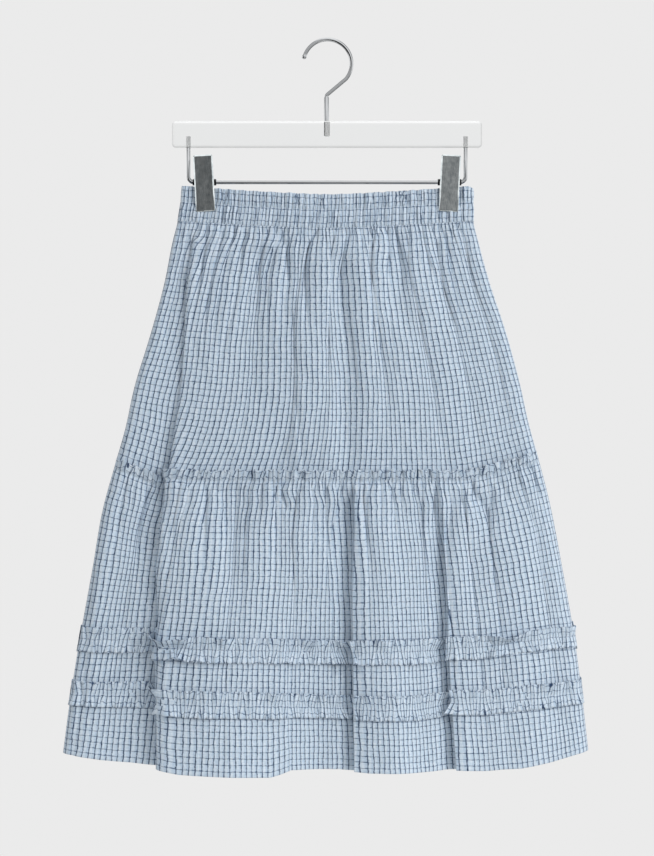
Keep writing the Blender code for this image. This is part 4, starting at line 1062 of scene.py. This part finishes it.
def bentWire(name, diameter, start, heading, moves):
    # grown from a ring in the hanger's plane: ("run", length, diameter at its end)
    # or ("turn", degrees clockwise seen from the front, bend radius, steps)
    deselectAll()
    bpy.ops.mesh.primitive_circle_add(
        vertices=20, radius=diameter / 2.0 * mm, fill_type="NGON",
        location=Vector((start[0], 0.0, start[1])) * mm, rotation=(0.0, math.radians(90.0 - heading), 0.0))
    piece = placeInMesh(name)
    place, size = Vector((start[0], 0.0, start[1])), diameter
    beginEdit(piece, "FACE")
    bpy.ops.mesh.select_all(action="SELECT")
    for move in moves:
        ahead = Vector((math.cos(math.radians(heading)), 0.0, math.sin(math.radians(heading))))
        if move[0] == "run":
            length, wider = move[1], move[2] / size
            bpy.ops.mesh.extrude_region_move(TRANSFORM_OT_translate={"value": ahead * length * mm})
            place, size = place + ahead * length, move[2]
            bpy.ops.transform.resize(value=(wider, wider, wider), center_override=place * mm)
        else:
            turned, bendRadius, steps = move[1:]
            aside = Vector((ahead.z, 0.0, -ahead.x)) * math.copysign(bendRadius, turned)
            centre = place + aside
            bpy.ops.mesh.spin(
                steps=steps, angle=-math.radians(turned), center=centre * mm, axis=(0.0, 1.0, 0.0))
            place = centre + Matrix.Rotation(math.radians(turned), 3, "Y") @ -aside
            heading -= turned
    return endEdit(piece)


hook = {
    "wire": 4.4, "bowRadius": 26.5, "bowCentreX": 0.5, "tipAngle": 160.0, "endAngle": -38.0, "tipBall": 5.4,
    "neckDown": 58.5, "firstBend": 8.0, "neckBend": 3.6, "shaft": 5.6, "bottom": 104.0,
    "bowSteps": 54, "firstSteps": 3, "neckSteps": 7, "shoulder": 1.4, "endRound": 0.8,
    "ballAngles": (8, 22, 38, 55, 72, 90, 108, 122),  # rings on the tip's ball, in degrees from its pole
}


def buildHook():
    wire, radius, ball = hook["wire"], hook["bowRadius"], hook["tipBall"] / 2.0
    centre = Vector((hook["bowCentreX"], wire / 2.0 - radius))
    aim = lambda degrees: Vector((math.cos(math.radians(degrees)), math.sin(math.radians(degrees))))
    start, end = centre + radius * aim(hook["tipAngle"]), centre + radius * aim(hook["endAngle"])
    slant = Vector((0.0, -hook["neckDown"])) - end
    headingIn, headingOut = hook["tipAngle"] - 90.0, hook["endAngle"] - 90.0
    headingSlant = math.degrees(math.atan2(slant.y, slant.x))
    firstTurn, neckTurn = headingOut - headingSlant, headingSlant + 90.0
    trim = lambda turned, bend: bend * math.tan(math.radians(abs(turned)) / 2.0)
    rings = [(-aim(angle).x, aim(angle).y) for angle in hook["ballAngles"]]
    collar = ball * 0.1  # from the ball to the plain wire
    first = start + aim(headingIn) * (ball * (rings[0][0] - rings[-1][0]) - collar)
    moves = [("run", ball * (b[0] - a[0]), 2.0 * ball * b[1]) for a, b in zip(rings, rings[1:])]
    moves += [("run", collar, wire), ("turn", hook["tipAngle"] - hook["endAngle"], radius, hook["bowSteps"])]
    run = slant.length - trim(firstTurn, hook["firstBend"]) - trim(neckTurn, hook["neckBend"])
    moves += [("turn", firstTurn, hook["firstBend"], hook["firstSteps"]), ("run", run, wire)]
    moves += [("turn", neckTurn, hook["neckBend"], hook["neckSteps"])]
    moves += [("run", hook["shoulder"], hook["shaft"])]
    left = hook["bottom"] - hook["neckDown"] - trim(neckTurn, hook["neckBend"]) - hook["shoulder"]
    rounded = hook["endRound"]
    moves += [("run", left - rounded, hook["shaft"]), ("run", rounded, hook["shaft"] - 2.0 * rounded)]
    return bentWire("hook", 2.0 * ball * rings[0][1], first, headingIn, moves)


rail = {
    "wire": 4.4, "halfWidth": 152.4, "down": 154.9, "corner": 6.0, "cornerSteps": 9, "legTop": 105.0,
    "endRound": 0.9, "endTaper": 1.4,
}


def buildRail():
    wire, rounded = rail["wire"], rail["endRound"]
    leg = rail["down"] - rail["corner"] - rail["legTop"] - rounded
    corner = ("turn", -90.0, rail["corner"], rail["cornerSteps"])
    across = ("run", 2.0 * (rail["halfWidth"] - rail["corner"]), wire)
    moves = [("run", rounded, wire), ("run", leg, wire), corner, across, corner,
             ("run", leg, wire), ("run", rounded, wire - rail["endTaper"])]
    return bentWire("clipRail", wire - rail["endTaper"], (-rail["halfWidth"], -rail["legTop"]), -90.0, moves)


bar = {
    "width": 341.0, "top": 87.4, "height": 29.7, "thickness": 10.0, "edge": 4.2, "edgeSteps": 7,
    "socketGap": 0.3, "drillPast": 4.0,
}


def buildBar():
    deselectAll()
    bpy.ops.mesh.primitive_cube_add(
        size=1.0, location=(0.0, 0.0, -(bar["top"] + bar["height"] / 2.0) * mm),
        scale=(bar["width"] * mm, bar["thickness"] * mm, bar["height"] * mm))
    piece = placeInMesh("clearBar")
    beginEdit(piece, "EDGE")
    bpy.ops.mesh.select_all(action="SELECT")
    bpy.ops.mesh.bevel(offset=bar["edge"] * mm, segments=bar["edgeSteps"], profile=0.5, clamp_overlap=True)
    endEdit(piece)
    gap, past, bottom = bar["socketGap"], bar["drillPast"], bar["top"] + bar["height"]
    deep = hook["bottom"] + gap - bar["top"] + past
    cutAway(piece, rod(hook["shaft"] + 2.0 * gap, deep, (0.0, 0.0, -bar["top"] + past - deep / 2.0)))
    high = bottom - rail["legTop"] + gap + past
    for side in (-1.0, 1.0):
        centre = (side * rail["halfWidth"], 0.0, high / 2.0 - bottom - past)
        cutAway(piece, rod(rail["wire"] + 2.0 * gap, high, centre))
    beginEdit(piece)
    return flatFaces(endEdit(piece))


def inSocket(place):  # is this place, in mm, on the wall or the floor of a drilled hole
    if abs(place.y) >= bar["thickness"] / 2.0 - 1.0:
        return False
    nearHook = abs(place.x) < hook["shaft"] and -hook["bottom"] - 1.0 < place.z < -bar["top"] - 0.1
    nearLeg = abs(abs(place.x) - rail["halfWidth"]) < rail["wire"]
    return nearHook or (nearLeg and place.z > 0.6 - bar["top"] - bar["height"])


clip = {
    "width": 21.5, "sheet": 1.0, "lip": 3.0, "above": 29.0, "below": 33.0, "topOut": 14.0, "bottomOut": 8.7,
    "ear": 4.8, "earRoom": 0.6, "lean": 2.9, "x": 134.8, "gap": 0.3, "edge": 1.5, "pressDepth": 40.0,
    "sleeve": 7.0, "sleeveOverhang": 2.2, "sleeveEdge": 0.25,
    "spring": 9.4, "springLength": 12.0, "springWire": 0.85, "springTurns": 9.5, "springSteps": 16,
    "springEnd": (3.2, 15.0),  # how far an end reaches outwards and up
}


def clipPlace(side):
    return Vector((side * clip["x"], 0.0, -rail["down"])) * mm


def buildJaw(name, side, outwardY, width):
    above, below, lip = clip["above"], clip["below"], clip["lip"]
    shoulder = clip["ear"] + clip["earRoom"]
    slope = (clip["topOut"] - clip["bottomOut"]) / (above + below)
    faceY = lambda z: clip["bottomOut"] + (z + below) * slope
    near = 0.1
    deselectAll()  # one cheek: the strip beside the face, with a round ear drawn out of it at the pivot
    bpy.ops.mesh.primitive_plane_add(
        size=2.0, rotation=(0.0, math.pi / 2.0, 0.0), location=(-width / 2.0 * mm, 0.0, 0.0))
    piece = placeInMesh(name)
    beginEdit(piece)
    for high in (True, False):
        for outer in (True, False):  # each of the plane's corners starts 1 m out and goes to its place
            pick(piece, "verts", lambda place: (place.z > 0.0) == high and (place.y > 0.0) == outer)
            z = above if high else -below
            bpy.ops.transform.translate(value=Vector((
                0.0, faceY(z) - (0.0 if outer else lip) - (1000.0 if outer else -1000.0),
                z - (1000.0 if high else -1000.0))) * mm)
    for height in (-shoulder, shoulder):
        bpy.ops.mesh.select_all(action="SELECT")
        bpy.ops.mesh.bisect(plane_co=(0.0, 0.0, height * mm), plane_no=(0.0, 0.0, 1.0))
    bpy.ops.mesh.select_mode(type="EDGE")
    pick(piece, "edges",
         lambda place: abs(place.z) < shoulder + near and place.y < faceY(place.z) - lip / 2.0)
    bpy.ops.mesh.extrude_region_move(TRANSFORM_OT_translate={"value": (0.0, -1.0 * mm, 0.0)})
    bpy.ops.transform.resize(value=(1.0, 0.0, clip["ear"] / shoulder), center_override=(0.0, 0.0, 0.0))
    bpy.ops.mesh.extrude_region_move(TRANSFORM_OT_translate={"value": (0.0, -clip["ear"] * mm, 0.0)})
    bpy.ops.mesh.select_mode(type="VERT")
    pick(piece, "verts", lambda place: place.y < -clip["ear"] + near)
    bpy.ops.mesh.bevel(offset=clip["ear"] * 0.99 * mm, segments=8, profile=0.5, affect="VERTICES")
    bpy.ops.mesh.select_mode(type="FACE")
    bpy.ops.mesh.select_all(action="SELECT")
    bpy.ops.mesh.extrude_region_move(TRANSFORM_OT_translate={"value": (width * mm, 0.0, 0.0)})
    bpy.ops.mesh.select_mode(type="EDGE")  # chamfers the edges all round the face
    onFace = lambda place: place.y > faceY(place.z) - near
    atSide = lambda place: abs(place.x) > width / 2.0 - near
    atEnd = lambda place: place.z > above - near or place.z < near - below
    grid = bmesh.from_edit_mesh(piece.data)
    for edge in grid.edges:
        ends = [corner.co / mm for corner in edge.verts]
        upright = abs(ends[0].x - ends[1].x) < near
        face, flank, end = [all(test(place) for place in ends) for test in (onFace, atSide, atEnd)]
        edge.select_set((face and flank and upright) or (face and end) or (flank and end and upright))
    bmesh.update_edit_mesh(piece.data)
    bpy.ops.mesh.bevel(offset=clip["edge"] * mm, segments=1)
    endEdit(piece)
    lean, sheet, deep = math.atan(slope), clip["sheet"], clip["pressDepth"]
    middleZ = (above - below) / 2.0
    middleY = faceY(middleZ) - sheet / math.cos(lean)
    centre = Vector((0.0, middleY - deep / 2.0 * math.cos(lean), middleZ + deep / 2.0 * math.sin(lean)))
    deselectAll()  # what the press leaves open inside
    bpy.ops.mesh.primitive_cube_add(
        size=1.0, rotation=(-lean, 0.0, 0.0), location=centre * mm,
        scale=((width - 2.0 * sheet) * mm, deep * mm, (above + below - 2.0 * sheet) * mm))
    cutAway(piece, placeInMesh("hollow"))
    cutAway(piece, rod(clip["sleeve"] + 2.0 * clip["gap"], 3.0 * width, (0.0, 0.0, 0.0), alongX=True))
    activate(piece)
    piece.scale = (1.0, outwardY, 1.0)
    piece.rotation_euler = (0.0, math.radians(side * clip["lean"]), 0.0)
    piece.location = clipPlace(side)
    placeInMesh(name)
    beginEdit(piece)
    return flatFaces(endEdit(piece, 35.0))


def buildSleeve(name, side):
    length = clip["width"] + 2.0 * clip["sleeveOverhang"]
    deselectAll()
    bpy.ops.mesh.primitive_cylinder_add(
        vertices=32, radius=clip["sleeve"] / 2.0 * mm, depth=length * mm, end_fill_type="NOTHING",
        location=clipPlace(side), rotation=(0.0, math.pi / 2.0, 0.0))
    piece = placeInMesh(name)
    wallThickness = (clip["sleeve"] - rail["wire"] - 2.0 * clip["gap"]) / 2.0
    addModifier(piece, "SOLIDIFY", offset=-1.0, thickness=wallThickness * mm)
    addModifier(piece, "BEVEL", width=clip["sleeveEdge"] * mm, segments=2, limit_method="ANGLE",
                angle_limit=math.radians(50.0))
    beginEdit(piece)
    return endEdit(piece)


def buildSpring(name, side):
    wire, turns = clip["springWire"], clip["springTurns"]
    coil, length = (clip["spring"] - wire) / 2.0, clip["springLength"] - wire
    steps = int(turns * clip["springSteps"])
    outwards, up = clip["springEnd"]
    deselectAll()
    bpy.ops.mesh.primitive_circle_add(vertices=8, radius=wire / 2.0 * mm, fill_type="NOTHING",
                                      location=(-length / 2.0 * mm, -coil * mm, 0.0))
    piece = placeInMesh(name)
    addModifier(piece, "SCREW", axis="X", angle=2.0 * math.pi * turns, screw_offset=length * mm, iterations=1,
                steps=steps, render_steps=steps)
    beginEdit(piece)
    for end in (-1.0, 1.0):  # each end runs on straight, up behind its jaw
        pick(piece, "verts", lambda place: place.x * end > length / 2.0 - wire * 0.55
             and abs(place.z) < 0.05 and place.y * end > 0.0)
        bpy.ops.mesh.select_mode(type="EDGE")
        bpy.ops.mesh.extrude_region_move(
            TRANSFORM_OT_translate={"value": (0.0, end * outwards * mm, up * mm)})
        bpy.ops.mesh.edge_face_add()
        bpy.ops.mesh.select_mode(type="VERT")
    endEdit(piece, 60.0)
    piece.location = clipPlace(side)
    activate(piece)
    return placeInMesh(name)


chrome = chromedSteel("chromed steel wire")
pressed = pressedSteel("chromed pressed steel, rubbed")
acrylic = clearAcrylic("cast acrylic, flame-polished")
black = blackSteel("blackened spring steel")
finish(buildHook(), chrome, ["hanger_hook"])
finish(buildRail(), chrome, ["clip_rail"])
clearBar = finish(buildBar(), acrylic, ["hanger_bar"])
clearBar.data.materials.append(clearAcrylic("cast acrylic, drilled face", clear=0.12, rough=0.5))
for face in clearBar.data.polygons:
    face.material_index = int(inSocket(face.center / mm))
nested = clip["width"] - 2.0 * (clip["sheet"] + clip["gap"])  # the back jaw's cheeks lie inside the front's
for label, side in (("left", -1.0), ("right", 1.0)):
    piece, node = "clip" + label.title(), "clip_" + label
    for face, outwardY, width in (("front", -1.0, clip["width"]), ("back", 1.0, nested)):
        jaw = buildJaw("%sJaw_%s" % (piece, face), side, outwardY, width)
        finish(jaw, pressed, ["%s_jaw_%s" % (node, face)])
    finish(buildSleeve(piece + "Sleeve", side), black, [node + "_sleeve"])
    finish(buildSpring(piece + "Spring", side), black, [node + "_spring"])
print("hanger")

studio = {
    "background": 0.83,
    # world level behind and around the object by height, and in front of it from left to right
    "lowSide": 0.22, "highSide": 0.42, "frontLeft": 0.0, "frontRight": 0.58, "frontAbove": 0.7,
    "beside": 1.1, "behind": 0.6, "overhead": 1.1,
    # what light bent by the clear bar meets, against the background: aside, thrown back, and bent downwards
    "edgeOn": 0.75, "thrownBack": 0.3, "bentDown": 0.25,
    "aim": (0.0, 0.0, -0.45), "floorRadius": 0.55, "floorDown": 1020.0,
    # name, power in W, place and size in m
    "lamps": (("key", 43.5, (1.95, -1.95, 0.0), 1.5), ("fill", 8.0, (-1.8, -2.0, -0.2), 1.6)),
}


def buildWorld():
    world = bpy.data.worlds.new("studio")
    bpy.context.scene.world = world
    world.use_nodes = True
    tree = world.node_tree
    heading = addNode(tree, "SeparateXYZ", {}, {0: addNode(tree, "TexCoord").outputs["Generated"]}).outputs
    aside, behind, up = maths(tree, "ABSOLUTE", heading["X"]), heading["Y"], heading["Z"]

    def mixed(share, first, second):
        return addNode(tree, "Mix", {"data_type": "FLOAT"}, {0: share, 2: first, 3: second}).outputs[0]

    def added(level, amount, start, end, low, high):
        return maths(tree, "ADD", level, ranged(tree, amount, start, end, low, high, soft=True))

    around = ranged(tree, up, -0.5, 0.3, studio["lowSide"], studio["highSide"], soft=True)
    around = added(around, aside, 0.9, 0.98, 0.0, studio["beside"])
    around = added(around, behind, 0.4, 0.9, 0.0, studio["behind"])
    around = added(around, up, 0.85, 0.97, 0.0, studio["overhead"])
    front = ranged(tree, heading["X"], -0.12, 0.12, studio["frontLeft"], studio["frontRight"])
    front = added(front, up, 0.05, 0.4, 0.0, studio["frontAbove"])
    level = mixed(ranged(tree, behind, -0.95, -0.2, 1.0, 0.0, soft=True), around, front)
    bent = ranged(tree, behind, 0.8, 0.99, studio["edgeOn"], 1.0, soft=True)
    bent = added(bent, up, -0.35, -0.08, studio["bentDown"], 0.0)
    bent = added(bent, behind, -0.3, 0.2, studio["thrownBack"], 0.0)
    path = addNode(tree, "LightPath").outputs
    level = mixed(path["Is Transmission Ray"], level, maths(tree, "MULTIPLY", bent, studio["background"]))
    level = mixed(path["Is Camera Ray"], level, studio["background"])
    feed(tree, tree.nodes["Background"], {"Color": (1.0, 1.0, 1.0, 1.0), "Strength": level})
    bpy.context.scene.view_settings.view_transform = "Standard"


def buildLights():
    for label, power, place, size in studio["lamps"]:
        light = bpy.data.lights.new(label, "AREA")
        light.energy, light.size = power, size
        lamp = bpy.data.objects.new(label, light)
        bpy.context.scene.collection.objects.link(lamp)
        lamp.location = place
        aim = Vector(studio["aim"]) - lamp.location
        lamp.rotation_euler = aim.to_track_quat("-Z", "Y").to_euler()
        lamp.visible_glossy = lamp.visible_transmission = False  # no hard streaks in steel and acrylic


def buildFloor():
    # matt paper: nearly white, very faintly mottled
    deselectAll()
    bpy.ops.mesh.primitive_circle_add(vertices=96, radius=studio["floorRadius"], fill_type="NGON",
                                      location=(0.0, -0.1, -studio["floorDown"] * mm))
    floor = placeInMesh("floor")
    material, tree, shader = newMaterial("matt paper floor")
    mottle = noise(tree, objectPlace(tree), 40.0, 4.0)
    feed(tree, shader, {"Base Color": blend(tree, mottle, "#e6e6e4", "#efefed"), "Roughness": 0.9})
    floor.data.materials.append(material)


# distance in m, and in mm how far down the lens is, the height it covers at the bar, and its sensor
view = {"distance": 3.0, "down": 425.2, "covered": 941.6, "sensor": 24.0}


def buildCamera():
    lens = bpy.data.cameras.new("camera")
    camera = bpy.data.objects.new("camera", lens)
    bpy.context.scene.collection.objects.link(camera)
    bpy.context.scene.camera = camera
    camera.location = (0.0, -view["distance"], -view["down"] * mm)
    camera.rotation_euler = (math.pi / 2.0, 0.0, 0.0)
    lens.sensor_fit = "VERTICAL"
    lens.sensor_height = view["sensor"]
    lens.lens = view["sensor"] * view["distance"] / (view["covered"] * mm)


buildWorld()
buildLights()
buildFloor()
buildCamera()
print("studio and camera")
